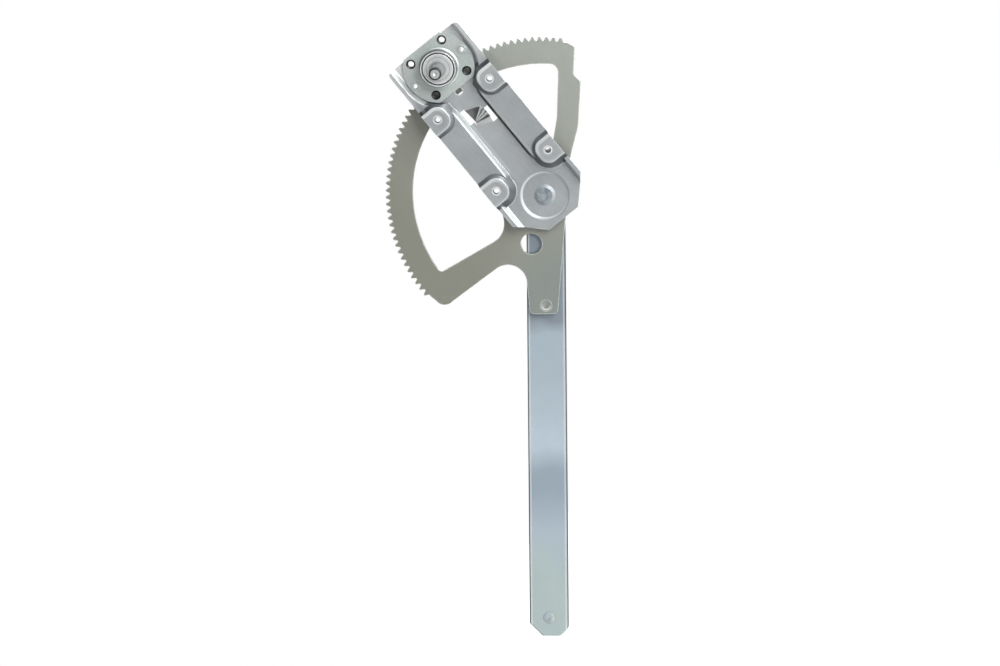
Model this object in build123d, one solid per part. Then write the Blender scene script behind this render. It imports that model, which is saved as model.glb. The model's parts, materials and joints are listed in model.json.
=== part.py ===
"""Crank-driven single-arm window regulator, as separate pieces.

Frame: millimetres, +Z along the base plate's long axis towards the crank, +X across it,
-Y towards the door's inner panel. The origin is the centre of the four door bolts, on the
front face of the pads that they pull against the panel.
"""
from build123d import *
import math
import os

# ---- base plate: outline ----------------------------------------------------------------
SHEET = 1.5                 # pressed steel thickness
PLATE_HALF_WIDTH = 35.7
DRIVE_TO_TOP = 20.8         # crank axis to the plate's top edge
PIVOT_TO_END = 23.9         # arm pivot to the plate's lower edge
END_HALF_WIDTH = 15.1       # half the straight lower edge
CORNER_CUT = 20.8           # height of the two slanting lower corners
TOP_CORNER = 3.0            # radius of the two upper corners
LOW_CORNER = 1.5            # radius of the four lower ones

# ---- base plate: positions --------------------------------------------------------------
PAD_X = 27.0                # door bolts, half spacing across
PAD_Z = 37.0                # door bolts, half spacing along
DRIVE_Z = 69.0              # crank axis above the origin
STOP_Z = 18.7               # middle of the travel stop above the origin

# ---- base plate: pressed levels, measured back from the pad faces ----------------------
FLANGE_DEPTH = 3.0          # side flanges and edge strips
FLOOR_DEPTH = 7.0           # channel, drive seat and pivot end
DISH_DROP = 1.5             # round seat of the arm pivot, behind the floor
WALL_DRAFT = 38.7           # slope of the pressed walls, degrees from the press direction
BEND_INSIDE = 1.0           # inside radius of a pressed bend

PAD_HALF = 10.2             # half height of a pad's flat, at the sharp edge
PAD_CORNER = 8.4            # radius of a pad's inner corners at the flat
CHANNEL_HALF = 11.2         # half width of the channel floor
PAD_LEDGE = 0.9             # flange between the channel wall and a pad's wall
FLANGE_LAP = 1.5            # the channel's flange ends this far inside a pad
FLANGE_CORNER = 6.0
STRIP_LAP = 1.0             # the edge strips start this far inside a pad
RECESS_RADIUS = 29.3        # floor of the round recess about the crank axis
PAD_CUT = 0.5               # the recess cuts the upper pads this much further out
STRIP_INNER = 29.1          # floor edge beside the narrow edge strips
DISH_RADIUS = 18.3          # flat of the pivot dish
DISH_BEND = 0.6

# ---- base plate: holes ------------------------------------------------------------------
PEEP_RADIUS = 3.05          # inspection hole below the drive
PEEP_DROP = 24.8            # its distance below the crank axis

# ---- base plate: travel stop, a lanced strap between two openings ------------------------
WINDOW_HALF_WIDTH = 10.6    # outer ends of the openings
WINDOW_HEIGHT = 13.3
WINDOW_STEP = 8.9           # the right opening lies this much lower than the left
STOP_X = -0.25              # middle of the strap
STOP_HALF_WIDTH = 6.25
STOP_HEIGHT = 16.4          # between the bends where the strap leaves the floor
STOP_FALL = 5.8             # fall of those bends from left to right
STOP_REACH = 5.6            # depth of the strap behind the floor
UPPER_FOLD_Z = 2.2          # fold under the strap's upper leg, above its middle
UPPER_FOLD_RISE = 4.7       # the fold climbs this much from left to right
LOWER_FOLD_Z = -4.0         # fold over the strap's lower leg
LOWER_FOLD_FALL = 1.0

# ---- fasteners and clearances -----------------------------------------------------------
M6_CORE_RADIUS = 2.5
SEAT_GAP = 0.02             # radial gap of a pressed or riveted seat
RUN_GAP = 0.06              # radial gap of a turning fit
FACE_GAP = 0.3              # axial gap between turning faces

NUT_SHANK_RADIUS = 3.7
NUT_SHANK_EDGE = 0.25       # bevel of the shank's end
NUT_ACROSS_FLATS = 10.0
NUT_ROUND_RADIUS = 5.5      # turned corners of the hexagon
NUT_HEIGHT = 4.2

# ---- crank drive ------------------------------------------------------------------------
DRIVE_SHEET = 1.5
DISC_RADIUS = 28.8          # flange of the brake drum
DISC_TOP = 22.2             # crank axis to the flange's upper flat
DISC_BOTTOM = 22.8          # crank axis to the flange's lower flat
DRIVE_HOLE_HALF = 16.0      # tapped holes, half spacing
PLUNGE_MOUTH = 3.7          # rolled-in mouth of a tapped hole, radius
PLUNGE_WALL = 0.8           # thread collar drawn through behind the flange
PLUNGE_LENGTH = 1.2
DRUM_RADIUS = 14.8
DRUM_BEND = 1.5
DRUM_RIM_BEVEL = 0.5
DRUM_HEIGHT = 7.6           # rim above the flange's front face
EYELET_X = 24.2
EYELET_BORE = 1.6
EYELET_SHANK = 2.4
EYELET_HEAD = 3.7
EYELET_HEAD_THICK = 0.7

DRIVER_GAP = 0.7            # both drivers' discs to the drum's bore
DRIVER_THICK = 1.5
LUG_INNER = 7.6             # driver lugs, inner radius
LUG_HALF_ANGLE = 32.0
LUG_GAP = 0.2               # lugs to the brake spring
LUG_END_GAP = 0.4
SPRING_WIRE = 1.5           # brake spring wire, radial
SPRING_WIRE_AXIAL = 0.95
SPRING_PITCH = 1.1
SPRING_TURNS = 3.75
SPRING_GAP = 0.12           # brake spring to drum bore
SPRING_TANG = 3.2           # inward end of the brake spring
DRUM_RECESS = 0.3           # input driver's face behind the drum's rim

SPINDLE_RADIUS = 5.1
SPINDLE_REACH = 30.0        # tip in front of the drive flange
SPLINE_LENGTH = 13.0
SPLINE_TEETH = 24
SPLINE_DEPTH = 0.42
SPLINE_SPACE = 0.85         # width of a space at the outside
TIP_BEVEL = 0.8
TIP_CENTRE = 1.6            # centre-drilled mouth in the tip, radius
TIP_CENTRE_DEPTH = 1.1
COLLAR_RADIUS = 6.2
COLLAR_THICK = 1.5
PILOT_RADIUS = 2.5
NECK_RADIUS = 4.0           # seat of the input driver
CLIP_THICK = 0.8
CLIP_RADIUS = 4.6
CLIP_GROOVE_RADIUS = 2.05
PILOT_OVERHANG = 0.9        # pilot end behind the clip

BUSH_WALL = 1.5
BUSH_COLLAR = 8.4
BUSH_COLLAR_THICK = 0.6

# ---- gearing ----------------------------------------------------------------------------
MODULE = 25.4 / 14          # 14 diametral pitch
PINION_TEETH = 7
SECTOR_CIRCLE_TEETH = 140   # teeth that a full circle would hold
SECTOR_TEETH_RIGHT = 18     # whole teeth clockwise of the line of centres
SECTOR_TEETH_LEFT = 35      # whole teeth anticlockwise of it
PRESSURE_ANGLE = 28.0
SECTOR_ADDENDUM = 0.75 * MODULE
PINION_ADDENDUM = 0.85 * MODULE
ROOT_CLEARANCE = 0.35
BACKLASH = 0.30
PINION_OVERHANG = 0.8       # pinion behind the sector's plate
HUB_STEP = 0.05             # pinion's hub below its root circle

# ---- sector and lift arm ----------------------------------------------------------------
REST_SWING = 1.1            # turn of the sector and arm from their drawing, degrees
GEAR_PLATE = 3.0
ARM_PLATE = 3.0
RIM_WIDTH = 18.7            # solid metal under the teeth
OPENING_HUB = 36.6          # solid metal left round the pivot
TAIL_HOLE_RADIUS = 8.5
TAIL_HOLE = (-34.6, -23.4)  # from the pivot
CORNER_ROUND = 4.0          # small corners of the sector and its opening
LEFT_FOOT_ROUND = 8.0
ARMPIT_ROUND = 15.1         # between the left leg and the tail
HUB_SIDE_ROUND = 40.0
LEG_BOW_ROUND = 30.0
LEFT_ROOT_ROUND = 18.0      # corners of the opening
HUB_ROUND = 6.0
RIGHT_BEND_ROUND = 60.0
RIGHT_CORNER_ROUND = 7.0

ARM_ANGLE = 229.8           # direction of the arm from the pivot
ARM_LENGTH = 344.7          # pivot to roller
ARM_TAIL_RIVET = 90.4       # pivot to the rivet that joins sector and arm
ARM_HALF_WIDTH = 15.7
ARM_TIP_OVERHANG = 15.2
ARM_LOW_CUT = 10.4          # slanting lower corner at the arm's end
ARM_HIGH_CUT = 6.6          # slanting upper corner
ARM_LOW_ROUND = 2.0         # softened ends of the lower slant
ARM_HIGH_ROUND = 5.0
ARM_EDGE_ROUND = 1.2
RIVET_RADIUS = 4.5
RIVET_HEAD_RADIUS = 6.0
RIVET_DIMPLE = 0.7

# ---- arm pivot --------------------------------------------------------------------------
JOURNAL_RADIUS = 7.0
PIN_NECK_RADIUS = 5.0
PIN_HEAD_RADIUS = 12.0
PIN_HEAD_THICK = 1.8
PEEN_RADIUS = 8.6
PEEN_FLAT = 6.2             # flattened top of the riveted end
PEEN_HEIGHT = 1.3
PEEN_HOLLOW = 3.4           # hollow left by the riveting tool, radius
PEEN_HOLLOW_DEPTH = 0.6
HUB_BUSH_WALL = 2.5
THRUST_WASHER_RADIUS = 18.0
THRUST_WASHER_THICK = 0.7
SPRING_WASHER_RADIUS = 11.5
SPRING_WASHER_THICK = 0.5

# ---- roller -----------------------------------------------------------------------------
ROLLER_RADIUS = 11.2
ROLLER_WIDTH = 9.6
ROLLER_CROWN = 2.4
STUD_RADIUS = 4.0
STUD_SHOULDER = 6.6
STUD_SHOULDER_THICK = 1.5
STUD_HEAD_THICK = 1.6
STUD_HEAD_BEVEL = 0.8
SPACER_RADIUS = 8.6
SPACER_THICK = 0.6

# ---- worked out from the values above ---------------------------------------------------
PAST = 10.0                 # how far cutting shapes reach past what they cut
DRAFT = math.radians(WALL_DRAFT)
SHEET_SHIFT = SHEET * (1 - math.sin(DRAFT)) / math.cos(DRAFT)
BEND_OUTSIDE = BEND_INSIDE + SHEET
PITCH_RADIUS_SECTOR = MODULE * SECTOR_CIRCLE_TEETH / 2
PITCH_RADIUS_PINION = MODULE * PINION_TEETH / 2
CENTRE_DISTANCE = PITCH_RADIUS_SECTOR + PITCH_RADIUS_PINION
SECTOR_ROOT = PITCH_RADIUS_SECTOR - PINION_ADDENDUM - ROOT_CLEARANCE
RIM_INNER = SECTOR_ROOT - RIM_WIDTH
PIVOT_Z = DRIVE_Z - CENTRE_DISTANCE
TOP_Z = DRIVE_Z + DRIVE_TO_TOP
END_Z = PIVOT_Z - PIVOT_TO_END

FLOOR_BACK = FLOOR_DEPTH + SHEET
DISH_DEPTH = FLOOR_DEPTH + DISH_DROP
DISH_BACK = DISH_DEPTH + SHEET
DISC_FRONT = FLOOR_DEPTH - DRIVE_SHEET
DRUM_BORE = DRUM_RADIUS - DRIVE_SHEET
DRIVER_RADIUS = DRUM_BORE - DRIVER_GAP
DRUM_RIM = DISC_FRONT - DRUM_HEIGHT
CAP_FRONT = DRUM_RIM + DRUM_RECESS
CAP_BACK = CAP_FRONT + DRIVER_THICK
OUTPUT_BACK = FLOOR_DEPTH - FACE_GAP
OUTPUT_FRONT = OUTPUT_BACK - DRIVER_THICK
SPINDLE_TIP = DISC_FRONT - SPINDLE_REACH

SECTOR_FRONT = DISH_BACK + THRUST_WASHER_THICK + FACE_GAP
SECTOR_BACK = SECTOR_FRONT + GEAR_PLATE
ARM_BACK = SECTOR_BACK + ARM_PLATE
HUB_BUSH_RADIUS = JOURNAL_RADIUS + RUN_GAP + HUB_BUSH_WALL
PLUNGE_RADIUS = M6_CORE_RADIUS + PLUNGE_WALL
PLUNGE_HOLE = PLUNGE_RADIUS + FACE_GAP
PIN_HEAD_FRONT = ARM_BACK + FACE_GAP + SPRING_WASHER_THICK

PINION_ROOT = PITCH_RADIUS_PINION - SECTOR_ADDENDUM - ROOT_CLEARANCE
PINION_HUB_RADIUS = PINION_ROOT - HUB_STEP
BUSH_RADIUS = PINION_HUB_RADIUS + RUN_GAP + BUSH_WALL
PINION_FRONT = FLOOR_BACK + BUSH_COLLAR_THICK + FACE_GAP
PINION_BACK = SECTOR_BACK + PINION_OVERHANG
CLIP_FRONT = PINION_BACK + FACE_GAP
ROLLER_FRONT = ARM_BACK + STUD_SHOULDER_THICK + SPACER_THICK + FACE_GAP
STUD_HEAD_FRONT = ROLLER_FRONT + ROLLER_WIDTH + FACE_GAP


# ---- helpers ----------------------------------------------------------------------------
def wall_plane(depth):
    """A drawing plane seen from the front: its x is +X, its y is +Z, at Y = depth."""
    return Plane(origin=(0, depth, 0), x_dir=(1, 0, 0), z_dir=(0, -1, 0))


def slab(sketch, front, back):
    """The sketch as a plate between two depths."""
    return extrude(wall_plane(back) * sketch, amount=back - front)


def pressed_boss(foot, level, floor):
    """A boss with sloping walls that rises from the floor to a level nearer the front."""
    return extrude(wall_plane(floor) * foot, amount=floor - level, taper=WALL_DRAFT)


def round_bar(radius, front, back, x=0.0, z=0.0):
    return slab(Pos(x, z) * Circle(radius), front, back)


def ring(outer, inner, front, back, x=0.0, z=0.0):
    return round_bar(outer, front, back, x, z) - round_bar(inner, front - 1, back + 1, x, z)


def turned(section, x=0.0, z=0.0):
    """Turn a (radius, depth) section about an axis along Y."""
    return revolve(Pos(x, 0, z) * section, Axis((x, 0, z), (0, 1, 0)))


def cone(mouth, bore, front, x, z):
    """A 45 degree mouth that opens to the front."""
    depth = mouth - bore
    section = make_face(Polyline((0, front - 0.01), (mouth, front - 0.01), (bore, front + depth),
                                 (0, front + depth), close=True))
    return turned(section, x, z)


def polar(radius, angle):
    """A point of the sector or arm in a drawing plane, from the arm pivot."""
    turn = math.radians(angle + REST_SWING)
    return (radius * math.cos(turn), PIVOT_Z + radius * math.sin(turn))


def from_pivot(x, z):
    return polar(math.hypot(x, z), math.degrees(math.atan2(z, x)))


def wall_run(height):
    return height * math.tan(DRAFT)


def involute(angle):
    return math.tan(angle) - angle


def flank_angle(radius, pitch_radius, teeth):
    """Half the angle that a tooth fills at a radius, thinned for backlash."""
    base = pitch_radius * math.cos(math.radians(PRESSURE_ANGLE))
    here = math.acos(min(1.0, base / radius))
    half_pitch = math.pi / (2 * teeth) - BACKLASH / (4 * pitch_radius)
    return half_pitch + involute(math.radians(PRESSURE_ANGLE)) - involute(here)


def bend_bevel(edges, radius):
    """A straight bevel that takes the place of a pressed bend's radius."""
    return chamfer(edges, radius * math.tan((math.pi / 2 - DRAFT) / 2))


def edges_at(shape, depth):
    """The shape's edges that lie flat at one depth."""
    flat = shape.edges().filter_by_position(Axis.Y, depth - 0.01, depth + 0.01)
    return flat.filter_by(lambda edge: edge.bounding_box().size.Y < 0.01)


def rounded(sketch, corners):
    """Round the sketch's corners nearest to the given points, each by its own radius."""
    for (x, z), radius in corners:
        sketch = fillet(sketch.vertices().sort_by_distance((x, z))[0], radius)
    return sketch


def bevelled(sketch, corners):
    """As rounded, but each corner is cut off straight."""
    for (x, z), length in corners:
        sketch = chamfer(sketch.vertices().sort_by_distance((x, z))[0], length)
    return sketch


# ---- base plate -------------------------------------------------------------------------
def plate_outline():
    cut_z = END_Z + CORNER_CUT
    corners = [(-PLATE_HALF_WIDTH, TOP_Z), (-PLATE_HALF_WIDTH, cut_z), (-END_HALF_WIDTH, END_Z),
               (END_HALF_WIDTH, END_Z), (PLATE_HALF_WIDTH, cut_z), (PLATE_HALF_WIDTH, TOP_Z)]
    radii = [TOP_CORNER] + [LOW_CORNER] * 4 + [TOP_CORNER]
    return rounded(make_face(Polyline(*corners, close=True)), list(zip(corners, radii)))


def channel_flange_foot():
    """Footprint of the broad flange between two pads, ending under both of them."""
    far = PLATE_HALF_WIDTH + PAST
    half = PAD_Z + FLANGE_LAP
    foot = Pos((CHANNEL_HALF + far) / 2, 0) * Rectangle(far - CHANNEL_HALF, 2 * half)
    return rounded(foot, [((CHANNEL_HALF, half), FLANGE_CORNER),
                          ((CHANNEL_HALF, -half), FLANGE_CORNER)])


def drive_strip_foot():
    """Footprint of the edge strip beside the drive, cut round the crank axis."""
    far = PLATE_HALF_WIDTH + PAST
    inner = CHANNEL_HALF + PAD_LEDGE + PAD_CORNER
    low = PAD_Z + STRIP_LAP
    high = TOP_Z + PAST
    foot = Pos((inner + far) / 2, (low + high) / 2) * Rectangle(far - inner, high - low)
    foot -= Pos(0, DRIVE_Z) * Circle(RECESS_RADIUS)
    above = high + PAST - DRIVE_Z
    return foot - Pos(0, DRIVE_Z + above / 2) * Rectangle(2 * RECESS_RADIUS, above)


def pivot_strip_foot():
    """Footprint of the edge strip beside the arm pivot."""
    far = PLATE_HALF_WIDTH + PAST
    low = END_Z - PAST
    high = -PAD_Z - STRIP_LAP
    return Pos((STRIP_INNER + far) / 2, (low + high) / 2) * Rectangle(
        far - STRIP_INNER, high - low)


def pad_foot(pad_z):
    """Footprint of one pad at floor level, open towards the plate's edge."""
    run = wall_run(FLOOR_DEPTH)
    inner = CHANNEL_HALF + PAD_LEDGE
    far = PLATE_HALF_WIDTH + PAST
    half = PAD_HALF + run
    foot = Pos((inner + far) / 2, pad_z) * Rectangle(far - inner, 2 * half)
    corner = PAD_CORNER + run
    return rounded(foot, [((inner, pad_z + half), corner), ((inner, pad_z - half), corner)])


def half_floor_block(back):
    """Everything behind the floor level on the plate's +X half, wider than the plate."""
    wide = PLATE_HALF_WIDTH + 2 * PAST
    area = Pos(wide / 2, (TOP_Z + END_Z) / 2) * Rectangle(wide, TOP_Z - END_Z + 6 * PAST)
    return slab(area, FLOOR_DEPTH + back, DISH_BACK + PAST)


def foot_reaches_recess(foot):
    """True for a pad that the round recess cuts; the edge strips are drawn round it."""
    box = foot.bounding_box()
    return box.max.Y < TOP_Z and box.max.Y > DRIVE_Z - RECESS_RADIUS and box.min.Y > 0


def formed_half(back, shrink, over_bend, under_bend):
    """Everything behind the pressed face, moved back by `back` for the rear face.

    The bends are rounded, but on the hidden rear those round the bosses' tops are bevelled.
    """
    soften = bend_bevel if shrink else fillet
    floor = FLOOR_DEPTH + back
    block = half_floor_block(back)
    for foot, level in ((pad_foot(PAD_Z), 0), (pad_foot(-PAD_Z), 0),
                        (channel_flange_foot(), FLANGE_DEPTH),
                        (drive_strip_foot(), FLANGE_DEPTH), (pivot_strip_foot(), FLANGE_DEPTH)):
        if shrink:
            foot = offset(foot, -shrink)
        boss = pressed_boss(foot, level + back, floor)
        boss = soften(edges_at(boss, level + back), over_bend) + half_floor_block(back)
        feet = [edge for edge in edges_at(boss, floor) if edge.is_interior]
        boss = fillet(feet, under_bend)
        if foot_reaches_recess(foot):
            boss -= round_bar(RECESS_RADIUS + PAD_CUT + back, -PAST, floor, z=DRIVE_Z)
        block += boss
    return block


def stop_window():
    """Two stepped openings beside the strap, and the strap's own piece of the floor."""
    left = STOP_X - STOP_HALF_WIDTH
    right = STOP_X + STOP_HALF_WIDTH
    cut = Pos((left - WINDOW_HALF_WIDTH) / 2, STOP_Z + WINDOW_STEP / 2) * Rectangle(
        WINDOW_HALF_WIDTH + left, WINDOW_HEIGHT)
    cut += Pos((right + WINDOW_HALF_WIDTH) / 2, STOP_Z - WINDOW_STEP / 2) * Rectangle(
        WINDOW_HALF_WIDTH - right, WINDOW_HEIGHT)
    cut += make_face(Polyline((left, strap_bend(-1, 1)), (right, strap_bend(1, 1)),
                              (right, strap_bend(1, -1)), (left, strap_bend(-1, -1)),
                              close=True))
    return slab(cut, FLOOR_DEPTH - 1, FLOOR_BACK + 1)


def strap_bend(side, end):
    """Height of the strap's upper (end 1) or lower (end -1) bend at its left or right side."""
    return STOP_Z + end * STOP_HEIGHT / 2 - side * STOP_FALL / 2


def strap_section(side):
    """The strap's bent sheet at its left (-1) or right (1) side."""
    x = STOP_X + side * STOP_HALF_WIDTH
    deep = FLOOR_DEPTH + STOP_REACH
    top = strap_bend(side, 1)
    bottom = strap_bend(side, -1)
    upper = STOP_Z + UPPER_FOLD_Z + side * UPPER_FOLD_RISE / 2
    lower = STOP_Z + LOWER_FOLD_Z - side * LOWER_FOLD_FALL / 2
    front = [Vector(x, FLOOR_DEPTH, top), Vector(x, deep, upper), Vector(x, deep, lower),
             Vector(x, FLOOR_DEPTH, bottom)]
    ends = [front[0] + Vector(0, 0, 1), front[3] - Vector(0, 0, 1)]
    back = mitred([ends[0]] + front + [ends[1]], SHEET)
    return make_face(Polyline(*front, *reversed(back), close=True))


def mitred(path, thick):
    """The inner points of a path across the plate, moved back square to its legs."""
    moved = []
    for before, here, after in zip(path, path[1:], path[2:]):
        normals = [(end - start).normalized().cross(Vector(1, 0, 0)) * -1
                   for start, end in ((before, here), (here, after))]
        both = normals[0] + normals[1]
        moved.append(here + both * (thick / (1 + normals[0].dot(normals[1]))))
    return moved


def stop_strap():
    """Lanced strap, pressed back through the sector's plane to end its travel."""
    return loft([strap_section(-1), strap_section(1)], ruled=True)


def pivot_dish():
    """Round seat of the arm, pressed back from the floor, as a turned sheet section."""
    run = wall_run(DISH_DEPTH - FLOOR_DEPTH)
    edge = DISH_RADIUS + run + 3 * DISH_BEND
    shift = SHEET_SHIFT
    inner, outer = DISH_RADIUS, DISH_RADIUS + run
    section = make_face(Polyline(
        (0, DISH_DEPTH), (inner, DISH_DEPTH), (outer, FLOOR_DEPTH), (edge, FLOOR_DEPTH),
        (edge, FLOOR_BACK), (outer + shift, FLOOR_BACK), (inner + shift, DISH_BACK),
        (0, DISH_BACK), close=True))
    corners = [((inner, DISH_DEPTH), DISH_BEND), ((outer, FLOOR_DEPTH), DISH_BEND)]
    blank = round_bar(edge, FLOOR_DEPTH - 1, FLOOR_BACK + 1, z=PIVOT_Z)
    return blank, turned(bevelled(section, corners), z=PIVOT_Z)


def base_plate():
    half = formed_half(0, 0, BEND_OUTSIDE, BEND_INSIDE)
    half -= formed_half(SHEET, SHEET_SHIFT, BEND_INSIDE, BEND_OUTSIDE)
    sheet = (half + mirror(half, Plane.YZ)) & slab(plate_outline(), -PAST, DISH_BACK + PAST)
    blank, dish = pivot_dish()
    sheet = sheet - blank + dish
    sheet = sheet - stop_window() + stop_strap()
    holes = [Pos(x, z) * Circle(NUT_SHANK_RADIUS + SEAT_GAP) for x, z in pad_holes()]
    holes += [Pos(x, z) * Circle(PLUNGE_HOLE) for x, z in drive_holes()]
    holes += [Pos(x, DRIVE_Z) * Circle(EYELET_SHANK + SEAT_GAP) for x in (-EYELET_X, EYELET_X)]
    holes += [Pos(0, DRIVE_Z) * Circle(BUSH_RADIUS + SEAT_GAP)]
    holes += [Pos(0, DRIVE_Z - PEEP_DROP) * Circle(PEEP_RADIUS)]
    holes += [Pos(0, PIVOT_Z) * Circle(PIN_NECK_RADIUS + SEAT_GAP)]
    for hole in holes:
        sheet -= slab(hole, -PAST, DISH_BACK + PAST)
    return sheet


def pad_holes():
    return [(x, z) for z in (PAD_Z, -PAD_Z) for x in (-PAD_X, PAD_X)]


def drive_holes():
    return [(x, DRIVE_Z + z) for z in (-DRIVE_HOLE_HALF, DRIVE_HOLE_HALF)
            for x in (-DRIVE_HOLE_HALF, DRIVE_HOLE_HALF)]


def clinch_nut(x, z):
    """Threaded insert pressed into a pad from behind, its shank flush with the pad."""
    hexagon = Pos(x, z) * RegularPolygon(NUT_ACROSS_FLATS / 2, 6, major_radius=False)
    body = slab(hexagon, SHEET, SHEET + NUT_HEIGHT)
    body &= round_bar(NUT_ROUND_RADIUS, 0, SHEET + NUT_HEIGHT, x, z)
    shank = round_bar(NUT_SHANK_RADIUS, 0, SHEET, x, z)
    body += chamfer(edges_at(shank, 0), NUT_SHANK_EDGE)
    bore = round_bar(M6_CORE_RADIUS, -1, SHEET + NUT_HEIGHT + 1, x, z)
    return body - bore


# ---- crank drive ------------------------------------------------------------------------
def brake_drum():
    """Pressed cup whose wall is the brake's drum and whose flange carries the drive."""
    section = make_face(Polyline(
        (DRUM_BORE, DRUM_RIM), (DRUM_RADIUS, DRUM_RIM), (DRUM_RADIUS, DISC_FRONT),
        (DISC_RADIUS, DISC_FRONT), (DISC_RADIUS, FLOOR_DEPTH), (DRUM_BORE, FLOOR_DEPTH),
        close=True))
    section = bevelled(section, [((DRUM_RADIUS, DISC_FRONT), DRUM_BEND),
                                 ((DRUM_BORE, FLOOR_DEPTH), DRUM_BEND),
                                 ((DRUM_RADIUS, DRUM_RIM), DRUM_RIM_BEVEL),
                                 ((DRUM_BORE, DRUM_RIM), DRUM_RIM_BEVEL)])
    drum = turned(section, z=DRIVE_Z)
    keep = Pos(0, DRIVE_Z + (DISC_TOP - DISC_BOTTOM) / 2) * Rectangle(
        3 * DISC_RADIUS, DISC_TOP + DISC_BOTTOM)
    drum &= slab(keep, DRUM_RIM - 1, FLOOR_DEPTH + 1)
    for x, z in drive_holes():
        drum += round_bar(PLUNGE_RADIUS, DISC_FRONT, FLOOR_DEPTH + PLUNGE_LENGTH, x, z)
        drum -= round_bar(M6_CORE_RADIUS, DISC_FRONT - 1, FLOOR_DEPTH + PLUNGE_LENGTH + 1, x, z)
        drum -= cone(PLUNGE_MOUTH, M6_CORE_RADIUS, DISC_FRONT, x, z)
    for x in (-EYELET_X, EYELET_X):
        drum -= round_bar(EYELET_SHANK + SEAT_GAP, DISC_FRONT - 1, FLOOR_DEPTH + 1, x, DRIVE_Z)
    return drum


def drum_eyelet(x):
    """Hollow rivet that holds the drum's flange to the base plate."""
    head = EYELET_HEAD_THICK
    section = make_face(Polyline(
        (EYELET_BORE, DISC_FRONT - head), (EYELET_HEAD, DISC_FRONT - head),
        (EYELET_HEAD, DISC_FRONT), (EYELET_SHANK, DISC_FRONT), (EYELET_SHANK, FLOOR_BACK),
        (EYELET_HEAD, FLOOR_BACK), (EYELET_HEAD, FLOOR_BACK + head),
        (EYELET_BORE, FLOOR_BACK + head), close=True))
    section = bevelled(section, [((EYELET_HEAD, DISC_FRONT - head), 0.7 * head),
                                 ((EYELET_HEAD, FLOOR_BACK + head), 0.7 * head)])
    return turned(section, x, DRIVE_Z)


def lug(mid_angle, front, back):
    """Arc-shaped driving lug inside the brake spring."""
    outer = DRUM_BORE - SPRING_GAP - SPRING_WIRE - LUG_GAP
    ring_face = Circle(outer) - Circle(LUG_INNER)
    reach = 2 * outer
    edge = math.radians(LUG_HALF_ANGLE)
    wedge = make_face(Polyline(
        (0, 0), (reach * math.cos(edge), -reach * math.sin(edge)),
        (reach * math.cos(edge), reach * math.sin(edge)), close=True))
    return slab(Pos(0, DRIVE_Z) * Rot(0, 0, mid_angle) * (ring_face & wedge), front, back)


def input_driver():
    """Disc on the spindle; its lug unwinds the brake spring and then drives the pinion."""
    disc = ring(DRIVER_RADIUS, NECK_RADIUS + SEAT_GAP, CAP_FRONT, CAP_BACK, z=DRIVE_Z)
    disc = chamfer(edges_at(disc, CAP_FRONT).sort_by(SortBy.LENGTH)[-1], DRUM_RIM_BEVEL)
    return disc + lug(90, CAP_BACK, OUTPUT_FRONT - LUG_END_GAP)


def output_driver():
    """Disc on the pinion's hub; a load on its lug winds the spring tight in the drum."""
    disc = ring(DRIVER_RADIUS, PINION_HUB_RADIUS + SEAT_GAP, OUTPUT_FRONT, OUTPUT_BACK,
                z=DRIVE_Z)
    return disc + lug(-90, CAP_BACK + LUG_END_GAP, OUTPUT_FRONT)


def brake_spring():
    """Wrap spring, sprung outwards against the drum, with both ends turned inwards."""
    radius = DRUM_BORE - SPRING_GAP - SPRING_WIRE / 2
    height = SPRING_PITCH * SPRING_TURNS
    coil_line = Helix(pitch=SPRING_PITCH, height=height, radius=radius)
    wire = Plane(origin=coil_line @ 0, x_dir=(1, 0, 0), z_dir=coil_line % 0)
    coil = sweep(wire * Rectangle(SPRING_WIRE, SPRING_WIRE_AXIAL), path=coil_line,
                 is_frenet=True)
    tang_length = SPRING_TANG + SPRING_WIRE / 2
    tang = Pos(radius - tang_length / 2, 0, 0) * Box(
        tang_length, SPRING_WIRE, SPRING_WIRE_AXIAL)
    coil += tang
    coil += Pos(0, 0, height) * Rot(0, 0, 360 * (SPRING_TURNS % 1)) * tang
    middle = (CAP_BACK + OUTPUT_FRONT) / 2
    place = Plane(origin=(0, middle + height / 2, DRIVE_Z), x_dir=(1, 0, 0), z_dir=(0, -1, 0))
    return place * Rot(0, 0, 135) * coil


def crank_spindle():
    """Splined crank spindle; its pilot carries the pinion and ends in the clip's groove."""
    collar = CAP_FRONT - COLLAR_THICK
    pilot_front = OUTPUT_FRONT - LUG_END_GAP
    clip_back = CLIP_FRONT + CLIP_THICK
    end = clip_back + PILOT_OVERHANG
    section = make_face(Polyline(
        (0, SPINDLE_TIP + TIP_CENTRE_DEPTH), (TIP_CENTRE, SPINDLE_TIP),
        (SPINDLE_RADIUS - TIP_BEVEL, SPINDLE_TIP), (SPINDLE_RADIUS, SPINDLE_TIP + TIP_BEVEL),
        (SPINDLE_RADIUS, collar), (COLLAR_RADIUS, collar), (COLLAR_RADIUS, CAP_FRONT),
        (NECK_RADIUS, CAP_FRONT), (NECK_RADIUS, pilot_front),
        (PILOT_RADIUS, pilot_front), (PILOT_RADIUS, CLIP_FRONT),
        (CLIP_GROOVE_RADIUS, CLIP_FRONT), (CLIP_GROOVE_RADIUS, clip_back),
        (PILOT_RADIUS, clip_back), (PILOT_RADIUS, end), (0, end), close=True))
    spindle = turned(section, z=DRIVE_Z)
    mouth = SPINDLE_RADIUS + SPLINE_DEPTH / 2
    groove = make_face(Polyline(
        (SPINDLE_RADIUS - SPLINE_DEPTH, 0), (mouth, -SPLINE_SPACE / 2),
        (mouth, SPLINE_SPACE / 2), close=True))
    grooves = [slab(Pos(0, DRIVE_Z) * Rot(0, 0, index * 360 / SPLINE_TEETH) * groove,
                    SPINDLE_TIP - 1, SPINDLE_TIP + SPLINE_LENGTH)
               for index in range(SPLINE_TEETH)]
    return spindle - grooves


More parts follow.
